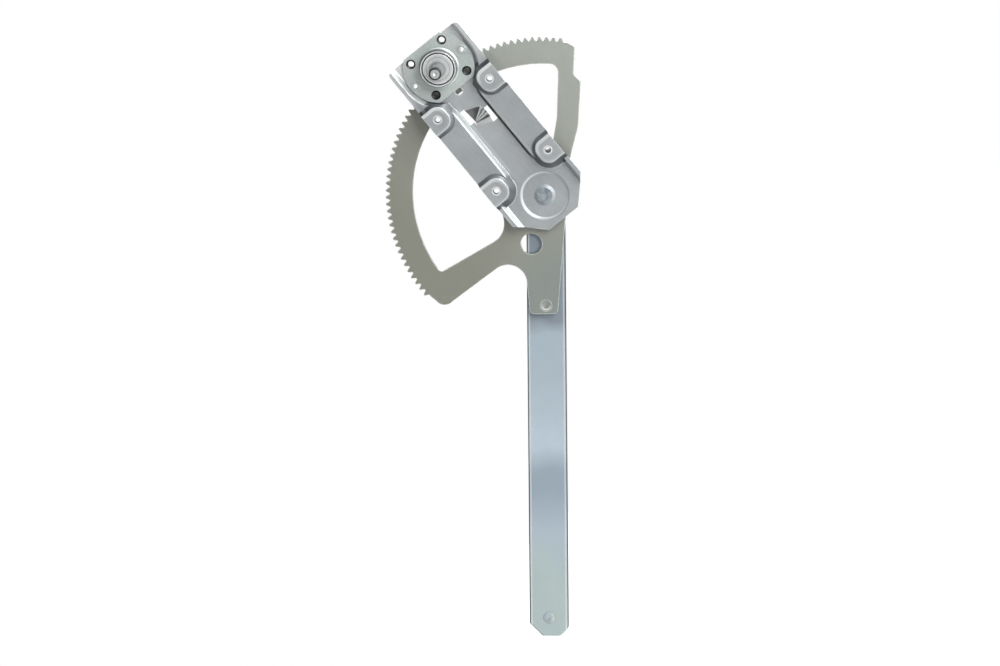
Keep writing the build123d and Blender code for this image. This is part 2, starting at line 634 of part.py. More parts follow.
def spindle_clip():
    """Open retaining ring behind the pinion."""
    clip = ring(CLIP_RADIUS, CLIP_GROOVE_RADIUS + SEAT_GAP, CLIP_FRONT, CLIP_FRONT + CLIP_THICK,
                z=DRIVE_Z)
    mouth = Pos(0, DRIVE_Z - CLIP_RADIUS) * Rectangle(1.6 * CLIP_GROOVE_RADIUS, 2 * CLIP_RADIUS)
    return clip - slab(mouth, CLIP_FRONT - 1, CLIP_FRONT + CLIP_THICK + 1)


def bearing_bush():
    """Flanged bush of the pinion's hub, pressed into the base plate from behind."""
    bore = PINION_HUB_RADIUS + RUN_GAP
    back = FLOOR_BACK + BUSH_COLLAR_THICK
    return (ring(BUSH_RADIUS, bore, FLOOR_DEPTH, FLOOR_BACK, z=DRIVE_Z)
            + ring(BUSH_COLLAR, bore, FLOOR_BACK, back, z=DRIVE_Z))


# ---- gearing ----------------------------------------------------------------------------
def tooth_point(centre, radius, angle):
    return (centre[0] + radius * math.cos(angle), centre[1] + radius * math.sin(angle))


def flank(centre, mid_angle, side, pitch_radius, teeth, start, end):
    """One tooth flank from radius start to end; the involute starts at its base circle."""
    base = pitch_radius * math.cos(math.radians(PRESSURE_ANGLE))
    low = max(min(start, end), base)
    high = max(start, end)
    middle = (low + high) / 2
    curve = [tooth_point(centre, radius,
                         mid_angle + side * flank_angle(radius, pitch_radius, teeth))
             for radius in (low, middle, high)]
    edges = [ThreePointArc(*curve)]
    if low > min(start, end):
        angle = mid_angle + side * flank_angle(low, pitch_radius, teeth)
        edges.insert(0, Line(tooth_point(centre, min(start, end), angle), curve[0]))
    return edges


def chord(centre, radius, start, end):
    return Line(tooth_point(centre, radius, start), tooth_point(centre, radius, end))


def circle_arc(centre, radius, start, end):
    """Arc about a centre between two angles in radians, anticlockwise."""
    return ThreePointArc(tooth_point(centre, radius, start),
                         tooth_point(centre, radius, (start + end) / 2),
                         tooth_point(centre, radius, end))


def gear_edges(centre, pitch_radius, teeth, root, tip, mid_angles):
    """Edges of a run of teeth with flat tips and roots, anticlockwise."""
    root_half = flank_angle(max(root, pitch_radius * math.cos(math.radians(PRESSURE_ANGLE))),
                            pitch_radius, teeth)
    tip_half = flank_angle(tip, pitch_radius, teeth)
    edges = []
    for index, mid in enumerate(mid_angles):
        if index:
            edges.append(chord(centre, root, mid_angles[index - 1] + root_half,
                               mid - root_half))
        edges += flank(centre, mid, -1, pitch_radius, teeth, root, tip)
        edges.append(chord(centre, tip, mid - tip_half, mid + tip_half))
        edges += flank(centre, mid, 1, pitch_radius, teeth, root, tip)
    return edges, root_half


def pinion():
    """Seven-tooth pinion with its hub, turned so that its spaces meet the sector's teeth."""
    centre = (0, DRIVE_Z)
    tip = PITCH_RADIUS_PINION + PINION_ADDENDUM
    pitch = 2 * math.pi / PINION_TEETH
    turn = math.radians(REST_SWING) * SECTOR_CIRCLE_TEETH / PINION_TEETH
    mids = [-math.pi / 2 - turn + pitch * (index + 0.5) for index in range(PINION_TEETH)]
    edges, root_half = gear_edges(centre, PITCH_RADIUS_PINION, PINION_TEETH, PINION_ROOT, tip,
                                  mids)
    edges.append(chord(centre, PINION_ROOT, mids[-1] + root_half,
                       mids[0] + 2 * math.pi - root_half))
    gear = slab(make_face(Wire(edges)), PINION_FRONT, PINION_BACK)
    gear += round_bar(PINION_HUB_RADIUS, OUTPUT_FRONT, PINION_FRONT, z=DRIVE_Z)
    return gear - round_bar(PILOT_RADIUS + RUN_GAP, 0, PINION_BACK + 1, z=DRIVE_Z)


def sector_outline():
    """Toothed rim, two legs and the tail that lies along the lift arm."""
    centre = (0, PIVOT_Z)
    pitch = 2 * math.pi / SECTOR_CIRCLE_TEETH
    root = SECTOR_ROOT
    tip = PITCH_RADIUS_SECTOR + SECTOR_ADDENDUM
    first = math.radians(90 + REST_SWING)
    mids = [first + pitch * index
            for index in range(-SECTOR_TEETH_RIGHT, SECTOR_TEETH_LEFT + 1)]
    edges, root_half = gear_edges(centre, PITCH_RADIUS_SECTOR, SECTOR_CIRCLE_TEETH, root, tip,
                                  mids)
    start = mids[0] - root_half - 0.6 * pitch
    end = mids[-1] + root_half + 0.2 * pitch
    edges.insert(0, circle_arc(centre, root, start, mids[0] - root_half))
    edges.append(circle_arc(centre, root, mids[-1] + root_half, end))
    left_foot = polar(root - 1.2, 188.4)
    armpit = from_pivot(-42.3, -22.2)
    tail_left = from_pivot(-72.6, -66.1)
    tail_right = from_pivot(-55.6, -80.3)
    hub_side = from_pivot(36.1, 10.8)
    leg_bow = from_pivot(56.1, 24.9)
    leg_knee = polar(RIM_INNER - 9.6, 32.2)
    leg_waist = polar(RIM_INNER - 5.6, 36.4)
    rim_end = polar(root - 1.9, 38.2)
    path = [tooth_point(centre, root, end), left_foot, armpit, tail_left, tail_right, hub_side,
            leg_bow, leg_knee, leg_waist, rim_end, tooth_point(centre, root, start)]
    edges += [Line(here, there) for here, there in zip(path, path[1:])]
    return rounded(make_face(Wire(edges)), [
        (left_foot, LEFT_FOOT_ROUND), (armpit, ARMPIT_ROUND), (tail_left, CORNER_ROUND),
        (tail_right, CORNER_ROUND), (hub_side, HUB_SIDE_ROUND), (leg_bow, LEG_BOW_ROUND),
        (leg_knee, CORNER_ROUND), (leg_waist, CORNER_ROUND), (rim_end, CORNER_ROUND)])


def sector_opening():
    """The large opening between rim, legs and hub."""
    left_corner = polar(RIM_INNER, 177.1)
    left_root = from_pivot(-45.2, -5.0)
    hub_left = polar(OPENING_HUB, 150.0)
    hub_right = polar(OPENING_HUB, 41.4)
    right_bend = from_pivot(48.0, 41.5)
    right_corner = polar(RIM_INNER, 43.6)
    edges = [ThreePointArc(right_corner, polar(RIM_INNER, 110.0), left_corner),
             Line(left_corner, left_root), Line(left_root, hub_left),
             ThreePointArc(hub_left, polar(OPENING_HUB, 95.0), hub_right),
             Line(hub_right, right_bend), Line(right_bend, right_corner)]
    return rounded(make_face(Wire(edges)), [
        (left_corner, CORNER_ROUND), (left_root, LEFT_ROOT_ROUND), (hub_right, HUB_ROUND),
        (right_bend, RIGHT_BEND_ROUND), (right_corner, RIGHT_CORNER_ROUND)])


def sector_gear():
    plate = slab(sector_outline() - sector_opening(), SECTOR_FRONT, SECTOR_BACK)
    plate -= round_bar(TAIL_HOLE_RADIUS, SECTOR_FRONT - 1, SECTOR_BACK + 1,
                       *from_pivot(*TAIL_HOLE))
    plate -= round_bar(HUB_BUSH_RADIUS + SEAT_GAP, SECTOR_FRONT - 1, SECTOR_BACK + 1,
                       z=PIVOT_Z)
    plate -= round_bar(RIVET_RADIUS + SEAT_GAP, SECTOR_FRONT - 1, SECTOR_BACK + 1,
                       *polar(ARM_TAIL_RIVET, ARM_ANGLE))
    return plate


# ---- lift arm ---------------------------------------------------------------------------
def arm_outline():
    """Flat bar from the pivot to past the roller, along local +x."""
    end = ARM_LENGTH + ARM_TIP_OVERHANG
    low_side = (end - ARM_LOW_CUT, -ARM_HALF_WIDTH)
    low_end = (end, ARM_LOW_CUT - ARM_HALF_WIDTH)
    high_end = (end, ARM_HALF_WIDTH - ARM_HIGH_CUT)
    high_side = (end - ARM_HIGH_CUT, ARM_HALF_WIDTH)
    bar = make_face(Polyline((0, -ARM_HALF_WIDTH), low_side, low_end, high_end, high_side,
                             (0, ARM_HALF_WIDTH), close=True))
    bar = rounded(bar, [(high_end, ARM_HIGH_ROUND), (high_side, ARM_HIGH_ROUND),
                        (low_side, ARM_LOW_ROUND), (low_end, ARM_LOW_ROUND)])
    return bar + Circle(ARM_HALF_WIDTH)


def lift_arm():
    outline = Pos(0, PIVOT_Z) * Rot(0, 0, ARM_ANGLE + REST_SWING) * arm_outline()
    arm = slab(outline, SECTOR_BACK, ARM_BACK)
    rims = edges_at(arm, SECTOR_BACK) + edges_at(arm, ARM_BACK)
    arm = fillet(rims, ARM_EDGE_ROUND)
    arm -= round_bar(HUB_BUSH_RADIUS + SEAT_GAP, SECTOR_BACK - 1, ARM_BACK + 1, z=PIVOT_Z)
    for reach in (ARM_TAIL_RIVET, ARM_LENGTH):
        arm -= round_bar(RIVET_RADIUS + SEAT_GAP, SECTOR_BACK - 1, ARM_BACK + 1,
                         *polar(reach, ARM_ANGLE))
    return arm


def dimple(front, x, z):
    """Shallow hollow that the riveting tool leaves in a closed end."""
    section = make_face(Polyline(
        (0, front - 0.01), (RIVET_RADIUS - RIVET_DIMPLE / 2, front - 0.01),
        (0, front + RIVET_DIMPLE), close=True))
    return turned(section, x, z)


def tail_rivet():
    x, z = polar(ARM_TAIL_RIVET, ARM_ANGLE)
    rivet = round_bar(RIVET_RADIUS, SECTOR_FRONT, ARM_BACK, x, z)
    rivet += round_bar(RIVET_HEAD_RADIUS, ARM_BACK, ARM_BACK + PIN_HEAD_THICK, x, z)
    return rivet - dimple(SECTOR_FRONT, x, z)


# ---- arm pivot --------------------------------------------------------------------------
def pivot_pin():
    """Shouldered pin, headed behind the arm and riveted over in the dish."""
    head_back = PIN_HEAD_FRONT + PIN_HEAD_THICK
    peen = DISH_DEPTH - PEEN_HEIGHT
    section = make_face(Polyline(
        (0, peen + PEEN_HOLLOW_DEPTH), (PEEN_HOLLOW, peen), (PEEN_FLAT, peen),
        (PEEN_RADIUS, DISH_DEPTH),
        (PIN_NECK_RADIUS, DISH_DEPTH), (PIN_NECK_RADIUS, DISH_BACK),
        (JOURNAL_RADIUS, DISH_BACK), (JOURNAL_RADIUS, PIN_HEAD_FRONT),
        (PIN_HEAD_RADIUS, PIN_HEAD_FRONT), (PIN_HEAD_RADIUS, head_back), (0, head_back),
        close=True))
    section = bevelled(section, [((PIN_HEAD_RADIUS, head_back), PIN_HEAD_THICK / 2)])
    return turned(section, z=PIVOT_Z)


def hub_bush():
    return ring(HUB_BUSH_RADIUS, JOURNAL_RADIUS + RUN_GAP, SECTOR_FRONT, ARM_BACK, z=PIVOT_Z)


def thrust_washer():
    return ring(THRUST_WASHER_RADIUS, JOURNAL_RADIUS + RUN_GAP, DISH_BACK,
                DISH_BACK + THRUST_WASHER_THICK, z=PIVOT_Z)


def spring_washer():
    """Thin conical washer that holds the arm against the thrust washer."""
    return ring(SPRING_WASHER_RADIUS, JOURNAL_RADIUS + RUN_GAP,
                PIN_HEAD_FRONT - SPRING_WASHER_THICK, PIN_HEAD_FRONT, z=PIVOT_Z)


# ---- roller -----------------------------------------------------------------------------
def roller_stud():
    """Stud riveted through the arm's end; its head keeps the roller."""
    x, z = polar(ARM_LENGTH, ARM_ANGLE)
    shoulder_back = ARM_BACK + STUD_SHOULDER_THICK
    stud = round_bar(RIVET_RADIUS, SECTOR_BACK, ARM_BACK, x, z)
    stud += round_bar(STUD_SHOULDER, ARM_BACK, shoulder_back, x, z)
    stud += round_bar(STUD_RADIUS, shoulder_back, STUD_HEAD_FRONT, x, z)
    head = round_bar(STUD_SHOULDER, STUD_HEAD_FRONT, STUD_HEAD_FRONT + STUD_HEAD_THICK, x, z)
    stud += chamfer(edges_at(head, STUD_HEAD_FRONT + STUD_HEAD_THICK), STUD_HEAD_BEVEL)
    return stud - dimple(SECTOR_BACK, x, z)


def roller_spacer():
    x, z = polar(ARM_LENGTH, ARM_ANGLE)
    front = ARM_BACK + STUD_SHOULDER_THICK
    return ring(SPACER_RADIUS, STUD_RADIUS + RUN_GAP, front, front + SPACER_THICK, x, z)


def glide_roller():
    """Crowned nylon roller that runs in the window glass's channel."""
    x, z = polar(ARM_LENGTH, ARM_ANGLE)
    back = ROLLER_FRONT + ROLLER_WIDTH
    section = make_face(Polyline(
        (STUD_RADIUS + RUN_GAP, ROLLER_FRONT), (ROLLER_RADIUS, ROLLER_FRONT),
        (ROLLER_RADIUS, back), (STUD_RADIUS + RUN_GAP, back), close=True))
    section = bevelled(section, [((ROLLER_RADIUS, ROLLER_FRONT), ROLLER_CROWN),
                                 ((ROLLER_RADIUS, back), ROLLER_CROWN)])
    return turned(section, x, z)


# ---- all pieces -------------------------------------------------------------------------
def save(node, shapes):
    """Write one node; pieces of one kind share it as separate solids."""
    shape = shapes if not isinstance(shapes, list) else Compound(children=shapes)
    shape.label = node
    export_step(shape, os.path.join("parts", node + ".step"))


os.makedirs("parts", exist_ok=True)
save("base_plate", base_plate())
save("clinch_nuts", [clinch_nut(x, z) for x, z in pad_holes()])
save("brake_drum", brake_drum())
save("drum_eyelets", [drum_eyelet(x) for x in (-EYELET_X, EYELET_X)])
save("bearing_bush", bearing_bush())
save("crank_spindle", crank_spindle())
save("input_driver", input_driver())
save("brake_spring", brake_spring())
save("output_driver", output_driver())
save("pinion", pinion())
save("spindle_clip", spindle_clip())
save("pivot_pin", pivot_pin())
save("thrust_washer", thrust_washer())
save("spring_washer", spring_washer())
save("hub_bush", hub_bush())
save("sector_gear", sector_gear())
save("lift_arm", lift_arm())
save("tail_rivet", tail_rivet())
save("roller_stud", roller_stud())
save("roller_spacer", roller_spacer())
save("glide_roller", glide_roller())
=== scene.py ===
import bmesh
import bpy
import json
import math
from mathutils import Matrix, Vector


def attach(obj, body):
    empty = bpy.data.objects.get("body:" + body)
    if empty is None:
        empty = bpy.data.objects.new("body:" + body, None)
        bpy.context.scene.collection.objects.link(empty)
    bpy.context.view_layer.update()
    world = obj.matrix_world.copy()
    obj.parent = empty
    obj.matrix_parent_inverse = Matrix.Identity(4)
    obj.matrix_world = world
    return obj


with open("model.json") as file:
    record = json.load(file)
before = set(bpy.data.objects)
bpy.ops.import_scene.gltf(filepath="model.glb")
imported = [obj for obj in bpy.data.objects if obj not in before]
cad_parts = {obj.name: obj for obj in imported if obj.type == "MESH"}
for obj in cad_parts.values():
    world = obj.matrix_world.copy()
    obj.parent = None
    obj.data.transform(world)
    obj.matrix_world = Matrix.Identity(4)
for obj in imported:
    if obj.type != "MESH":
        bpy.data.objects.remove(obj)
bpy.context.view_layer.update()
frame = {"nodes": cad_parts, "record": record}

# ---- colours of the finishes, linear ---------------------------------------
PLATE_ZINC = (0.43, 0.455, 0.465, 1)
PLATE_DULL = (0.29, 0.31, 0.32, 1)
# painted shade, dimming highlights on slopes
SOFT_SLOPE = (0.27, 0.29, 0.295, 1)
DRUM_ZINC = (0.61, 0.67, 0.65, 1)
DRUM_DULL = (0.38, 0.42, 0.41, 1)
WALL_DULL = (0.13, 0.145, 0.145, 1)
SECTOR_PALE = (0.36, 0.385, 0.355, 1)
SECTOR_OLIVE = (0.235, 0.24, 0.20, 1)
SECTOR_TAIL = (0.235, 0.265, 0.25, 1)
ARM_BLUE = (0.40, 0.48, 0.54, 1)
ARM_SHADE = (0.23, 0.27, 0.31, 1)
ARM_PALE = (0.48, 0.57, 0.64, 1)
ARM_DULL = (0.295, 0.365, 0.425, 1)
ARM_GREEN = (0.42, 0.505, 0.49, 1)
TURNED_STEEL = (0.42, 0.43, 0.43, 1)
TURNED_DULL = (0.24, 0.245, 0.25, 1)
TIP_BRIGHT = (0.52, 0.53, 0.53, 1)
DRIVER_PALE = (0.72, 0.75, 0.75, 1)
PEENED_BLUE = (0.40, 0.45, 0.50, 1)
PEENED_SHADE = (0.30, 0.34, 0.39, 1)
PEENED_DARK = (0.15, 0.18, 0.22, 1)
PIVOT_GREY = (0.31, 0.345, 0.36, 1)
PIVOT_SHADE = (0.235, 0.26, 0.28, 1)
OILED_STEEL = (0.05, 0.052, 0.056, 1)
OILED_LIGHT = (0.11, 0.113, 0.118, 1)
THREAD_GREY = (0.16, 0.165, 0.165, 1)
BRONZE = (0.32, 0.19, 0.08, 1)
BRONZE_DULL = (0.20, 0.11, 0.045, 1)
NYLON = (0.62, 0.60, 0.52, 1)
NYLON_SHADE = (0.54, 0.52, 0.44, 1)
# pale, for rubbed wear and painted highlights
BARE_EDGE = (0.74, 0.76, 0.76, 1)
# painted shade for close corners
CORNER_DIRT = (0.02, 0.022, 0.025, 1)
# dark, for painted shade on walls and rings
DRAWN_DULL = (0.05, 0.056, 0.062, 1)
# near black, for painted shade
SOOT = (0.022, 0.024, 0.024, 1)
WHITE = (1, 1, 1, 1)
BLACK = (0, 0, 0, 1)

# ---- places on the part, metres --------------------------------------------
CRANK_AXIS = (0.0, 0.0, 0.069)
PIVOT = Vector((0, 0.0085, -0.06435))
ARM_ANGLE = math.radians(230.9)
ARM_ALONG = (math.cos(ARM_ANGLE), 0.0, math.sin(ARM_ANGLE))
ARM_ACROSS = (-math.sin(ARM_ANGLE), 0.0, math.cos(ARM_ANGLE))
TAIL_RIVET = PIVOT + Vector(ARM_ALONG) * 0.0904
ROLLER_STUD = PIVOT + Vector(ARM_ALONG) * 0.3447
DISH_AXIS = (0.0, 0.0, PIVOT.z)
PEEP_HOLE = (0.0, 0.0, 0.0442)
DRIVE_HOLE = 0.016           # half spacing of the drive bolts, both ways
PAD_X = 0.027                # half spacing of the door bolts, across the plate
PAD_Z = 0.037                # the same along the plate
PAD_INNER = 0.0177           # inner edge of a pad's flat
PAD_HALF = 0.0102            # half height of a pad's flat
PAD_CORNER = 0.0084          # radius of the flat's inner corners


# ---- node helpers ----------------------------------------------------------
FLOAT = "NodeSocketFloat"
COLOUR = "NodeSocketColor"
VECTOR = "NodeSocketVector"


def group_with(name, inputs, outputs):
    """A new node group, the sockets it is given and the sockets it fills."""
    tree = bpy.data.node_groups.new(name, "ShaderNodeTree")
    for label, kind, value in inputs:
        socket = tree.interface.new_socket(label, in_out="INPUT", socket_type=kind)
        socket.default_value = value
    for label, kind in outputs:
        tree.interface.new_socket(label, in_out="OUTPUT", socket_type=kind)
    return (tree, tree.nodes.new("NodeGroupInput").outputs,
            tree.nodes.new("NodeGroupOutput").inputs)


def fill(tree, socket, operand):
    """Gives an input a value, or links it to another socket."""
    if isinstance(operand, bpy.types.NodeSocket):
        tree.links.new(operand, socket)
    else:
        socket.default_value = operand


def placed(tree, group, **operands):
    """The outputs of one use of a node group."""
    node = tree.nodes.new("ShaderNodeGroup")
    node.node_tree = group
    for label, operand in operands.items():
        fill(tree, node.inputs[label], operand)
    return node.outputs


def coordinates(tree):
    """Where a point lies in its piece's own frame."""
    return tree.nodes.new("ShaderNodeTexCoord").outputs["Object"]


def axes_of(tree, vector):
    """The X, Y and Z of a vector."""
    apart = tree.nodes.new("ShaderNodeSeparateXYZ")
    tree.links.new(vector, apart.inputs["Vector"])
    return apart.outputs["X"], apart.outputs["Y"], apart.outputs["Z"]


def noise(tree, vector, scale, detail=3.0, roughness=0.55):
    """The value of a noise, mostly between 0.3 and 0.7."""
    node = tree.nodes.new("ShaderNodeTexNoise")
    fill(tree, node.inputs["Vector"], vector)
    fill(tree, node.inputs["Scale"], scale)
    fill(tree, node.inputs["Detail"], detail)
    fill(tree, node.inputs["Roughness"], roughness)
    return node.outputs["Fac"]


def sums(tree, operation, *operands, clamp=False):
    """A Math node; each operand is a socket or a number."""
    node = tree.nodes.new("ShaderNodeMath")
    node.operation = operation
    node.use_clamp = clamp
    for socket, operand in zip(node.inputs, operands):
        fill(tree, socket, operand)
    return node.outputs[0]


def product(tree, first, *others):
    """Several sockets or numbers multiplied together."""
    for other in others:
        first = sums(tree, "MULTIPLY", first, other)
    return first


def vectors(tree, operation, *operands):
    """A Vector Math node; each operand is a socket or a constant."""
    node = tree.nodes.new("ShaderNodeVectorMath")
    node.operation = operation
    for socket, operand in zip(node.inputs, operands):
        fill(tree, socket, operand)
    return node.outputs["Value" if operation in ("DOT_PRODUCT", "LENGTH") else "Vector"]


def length_of(tree, first, second):
    """Length of a flat vector with two given parts."""
    together = tree.nodes.new("ShaderNodeCombineXYZ")
    tree.links.new(first, together.inputs["X"])
    tree.links.new(second, together.inputs["Y"])
    return vectors(tree, "LENGTH", together.outputs["Vector"])


def off_axis(tree, centre):
    """Distance from the axis along Y through a centre."""
    x, _, z = axes_of(tree, vectors(tree, "SUBTRACT", coordinates(tree), centre))
    return length_of(tree, x, z)


def distance_along(tree, place, origin, direction):
    """How far a place lies from an origin, measured along a direction."""
    return vectors(tree, "DOT_PRODUCT", vectors(tree, "SUBTRACT", place, origin),
                   direction)


def folded(tree, value, centre):
    """How far a coordinate lies beyond plus or minus the centre, with its sign."""
    return sums(tree, "SUBTRACT", sums(tree, "ABSOLUTE", value), centre)


def span(tree, value, low, high, to_low=0.0, to_high=1.0):
    """Maps low..high to another range, held at both ends."""
    node = tree.nodes.new("ShaderNodeMapRange")
    for label, operand in (("Value", value), ("From Min", low), ("From Max", high),
                           ("To Min", to_low), ("To Max", to_high)):
        fill(tree, node.inputs[label], operand)
    return node.outputs["Result"]


def steps(tree, value, stops):
    """A value that follows (position, level) stops in straight runs."""
    curve = stops[0][1]
    for (low, first), (high, second) in zip(stops, stops[1:]):
        curve = sums(tree, "ADD", span(tree, value, low, high, 0.0, second - first),
                     curve)
    return curve


def wandering(tree, value, place, scale, reach):
    """A coordinate that strays by a slow noise."""
    stray = sums(tree, "SUBTRACT", noise(tree, place, scale, 2.0), 0.5)
    return sums(tree, "ADD", value, product(tree, stray, reach))


def blend(tree, factor, first, second):
    """A colour between two; each is a socket or a colour."""
    node = tree.nodes.new("ShaderNodeMix")
    node.data_type = "RGBA"
    tree.links.new(factor, node.inputs["Factor"])
    colours = [socket for socket in node.inputs if socket.type == "RGBA"]
    for socket, operand in zip(colours, (first, second)):
        fill(tree, socket, operand)
    return next(socket for socket in node.outputs if socket.type == "RGBA")


# ---- shared effects --------------------------------------------------------
# Scales of the noises, cells in a metre.
CLOUD_SCALE = 38.0
SPECKLE_SCALE = 1100.0
STREAK_SCALE = 420.0
PATCH_SCALE = 260.0
RING_SCALE = 900.0
HAMMER_SCALE = 330.0
SCORE_SCALE = 600.0
BATH_SCALE = 22.0
DRIFT_SCALE = 16.0

ROUNDING_SAMPLES = 6
SHADE_SAMPLES = 8
CORNER_REACH = 0.0035        # a corner closer than this is painted in shade
EDGE_TURN = (0.02, 0.22)     # from plain to a marked edge as an edge turns away
RUBBED_OPEN = (0.55, 0.9)    # openness from which an edge is marked, and fully so
DIRTY_OPEN = (0.75, 0.25)    # openness from which a corner is painted in shade, and fully so

# Painted shade on the walls round the pads and painted highlight on their bends:
# distances from the edge of a pad's flat.
WALL_START = (-0.0002, 0.0004)
WALL_END = (0.0037, 0.0031)
DEEP_WALL_END = (0.0062, 0.0056)            # the same where the wall is steep
WALL_STEEP = (0.93, 0.72)                   # the normal's part along Y
WALL_SHARE = (0.023, 0.031, 0.82, 1.0)      # weaker towards the plate's middle
WALL_DEPTH = (0.0, 0.0004)                  # only behind the flats
PAD_BEND = ((-0.0030, 0.0), (-0.0023, 1.0), (-0.0003, 1.0), (0.0002, 0.0))
BEND_RISE = (0.0, 0.008, 0.15, 1.0)         # painted highlight, brighter towards a pad's upper end


def mottle_group():
    """Cloudy zinc: slow clouds, fine speckle, and the streaks left by rolling."""
    tree, given, result = group_with(
        "zinc_mottle",
        [("Light", COLOUR, WHITE), ("Dull", COLOUR, BLACK),
         ("Stretch", VECTOR, (1, 1, 1)), ("Cloud", FLOAT, 0.5),
         ("Speckle", FLOAT, 0.3), ("Streak", FLOAT, 0.2)],
        [("Color", COLOUR)])
    place = coordinates(tree)
    drawn = vectors(tree, "MULTIPLY", place, given["Stretch"])
    cloud = span(tree, noise(tree, place, CLOUD_SCALE, 2.0), 0.35, 0.65)
    speckle = span(tree, noise(tree, place, SPECKLE_SCALE, 3.0, 0.7), 0.35, 0.68)
    streak = span(tree, noise(tree, drawn, STREAK_SCALE, 4.0, 0.6), 0.38, 0.66)
    total = sums(tree, "ADD", product(tree, cloud, given["Cloud"]),
                 product(tree, speckle, given["Speckle"]))
    total = sums(tree, "ADD", total, product(tree, streak, given["Streak"]),
                 clamp=True)
    fill(tree, result["Color"], blend(tree, total, given["Light"], given["Dull"]))
    return tree


def grain_group():
    """Height and roughness of rolled or pressed metal, drawn out along the rolling."""
    tree, given, result = group_with(
        "metal_grain",
        [("Stretch", VECTOR, (1, 1, 1)), ("Scale", FLOAT, 900.0),
         ("Smooth", FLOAT, 0.3), ("Rough", FLOAT, 0.5)],
        [("Roughness", FLOAT), ("Height", FLOAT)])
    drawn = vectors(tree, "MULTIPLY", coordinates(tree), given["Stretch"])
    grain = noise(tree, drawn, given["Scale"], 4.0)
    fill(tree, result["Roughness"],
         span(tree, grain, 0.3, 0.7, given["Smooth"], given["Rough"]))
    fill(tree, result["Height"], grain)
    return tree


def edge_group():
    """Bright rubbed edges that also stand in for edge highlights, and painted shade in
    corners, found by ambient occlusion.
    """
    tree, given, result = group_with(
        "edges_and_corners",
        [("Rub", FLOAT, 0.6), ("Dirt", FLOAT, 0.5), ("Reach", FLOAT, 0.0006)],
        [("Edge", FLOAT), ("Corner", FLOAT)])
    rounded = tree.nodes.new("ShaderNodeBevel")
    rounded.samples = ROUNDING_SAMPLES
    tree.links.new(given["Reach"], rounded.inputs["Radius"])
    true = tree.nodes.new("ShaderNodeNewGeometry")
    same = vectors(tree, "DOT_PRODUCT", rounded.outputs["Normal"],
                   true.outputs["Normal"])
    edge = span(tree, sums(tree, "SUBTRACT", 1.0, same), *EDGE_TURN)
    shade = tree.nodes.new("ShaderNodeAmbientOcclusion")
    shade.samples = SHADE_SAMPLES
    shade.inputs["Distance"].default_value = CORNER_REACH
    rubbed = span(tree, shade.outputs["AO"], *RUBBED_OPEN)
    patchy = span(tree, noise(tree, coordinates(tree), PATCH_SCALE),
                  0.35, 0.6, 0.35, 1.0)
    # Edge: rubbed wear, also painted as an edge highlight (as shade where the edge
    # colour is dark).
    fill(tree, result["Edge"], product(tree, edge, rubbed, patchy, given["Rub"]))
    # Corner: painted shade where ambient occlusion finds a close corner.
    fill(tree, result["Corner"],
         product(tree, span(tree, shade.outputs["AO"], *DIRTY_OPEN), given["Dirt"]))
    return tree


def pad_press_group():
    """Painted light round the bolt pads: painted shade on the drawn walls, painted
    highlights on the bends.
    """
    tree, given, result = group_with(
        "pad_press", [("Draw", FLOAT, 0.8), ("Burnish", FLOAT, 0.8)],
        [("Wall", FLOAT), ("Bend", FLOAT)])
    place = tree.nodes.new("ShaderNodeTexCoord")
    facing = axes_of(tree, place.outputs["Normal"])[1]
    x, y, z = axes_of(tree, place.outputs["Object"])
    out = sums(tree, "ABSOLUTE", x)
    rise = sums(tree, "SUBTRACT", z, product(tree, sums(tree, "SIGN", z), PAD_Z))
    inward = sums(tree, "MAXIMUM",
                  sums(tree, "SUBTRACT", PAD_INNER + PAD_CORNER, out), 0.0)
    beyond = sums(tree, "MAXIMUM", folded(tree, rise, PAD_HALF - PAD_CORNER), 0.0)
    off_pad = sums(tree, "SUBTRACT", length_of(tree, inward, beyond), PAD_CORNER)
    steep = span(tree, sums(tree, "ABSOLUTE", facing), *WALL_STEEP)
    deep = product(tree, steep, span(tree, off_pad, *DEEP_WALL_END))
    wall = sums(tree, "MAXIMUM", span(tree, off_pad, *WALL_END), deep)
    fill(tree, result["Wall"],
         product(tree, wall, span(tree, off_pad, *WALL_START),
                 span(tree, out, *WALL_SHARE), span(tree, y, *WALL_DEPTH),
                 given["Draw"]))
    fill(tree, result["Bend"],
         product(tree, steps(tree, off_pad, PAD_BEND), span(tree, rise, *BEND_RISE),
                 given["Burnish"]))
    return tree


def four_holes_group():
    """A round mask at four holes spaced alike about a centre, seen along Y."""
    tree, given, result = group_with(
        "four_holes",
        [("Half X", FLOAT, DRIVE_HOLE), ("Half Z", FLOAT, DRIVE_HOLE),
         ("Middle Z", FLOAT, CRANK_AXIS[2]), ("Inner", FLOAT, 0.0),
         ("Outer", FLOAT, 0.0037)],
        [("Mask", FLOAT)])
    x, _, z = axes_of(tree, coordinates(tree))
    height = sums(tree, "SUBTRACT", z, given["Middle Z"])
    reach = length_of(tree, folded(tree, x, given["Half X"]),
                      folded(tree, height, given["Half Z"]))
    within = span(tree, sums(tree, "SUBTRACT", reach, given["Outer"]),
                  0.0002, -0.0001)
    beyond = span(tree, sums(tree, "SUBTRACT", reach, given["Inner"]),
                  -0.0002, 0.0001)
    fill(tree, result["Mask"], product(tree, within, beyond))
    return tree


def round_band_group():
    """A ring-shaped mask round an axis along Y, between two radii."""
    tree, given, result = group_with(
        "round_band",
        [("Centre", VECTOR, CRANK_AXIS), ("Inner", FLOAT, 0.0),
         ("Outer", FLOAT, 0.01), ("Fade", FLOAT, 0.0003)],
        [("Mask", FLOAT)])
    reach = off_axis(tree, given["Centre"])
    within = sums(tree, "DIVIDE", sums(tree, "SUBTRACT", given["Outer"], reach),
                  given["Fade"], clamp=True)
    beyond = sums(tree, "DIVIDE", sums(tree, "SUBTRACT", reach, given["Inner"]),
                  given["Fade"], clamp=True)
    fill(tree, result["Mask"], product(tree, within, beyond))
    return tree


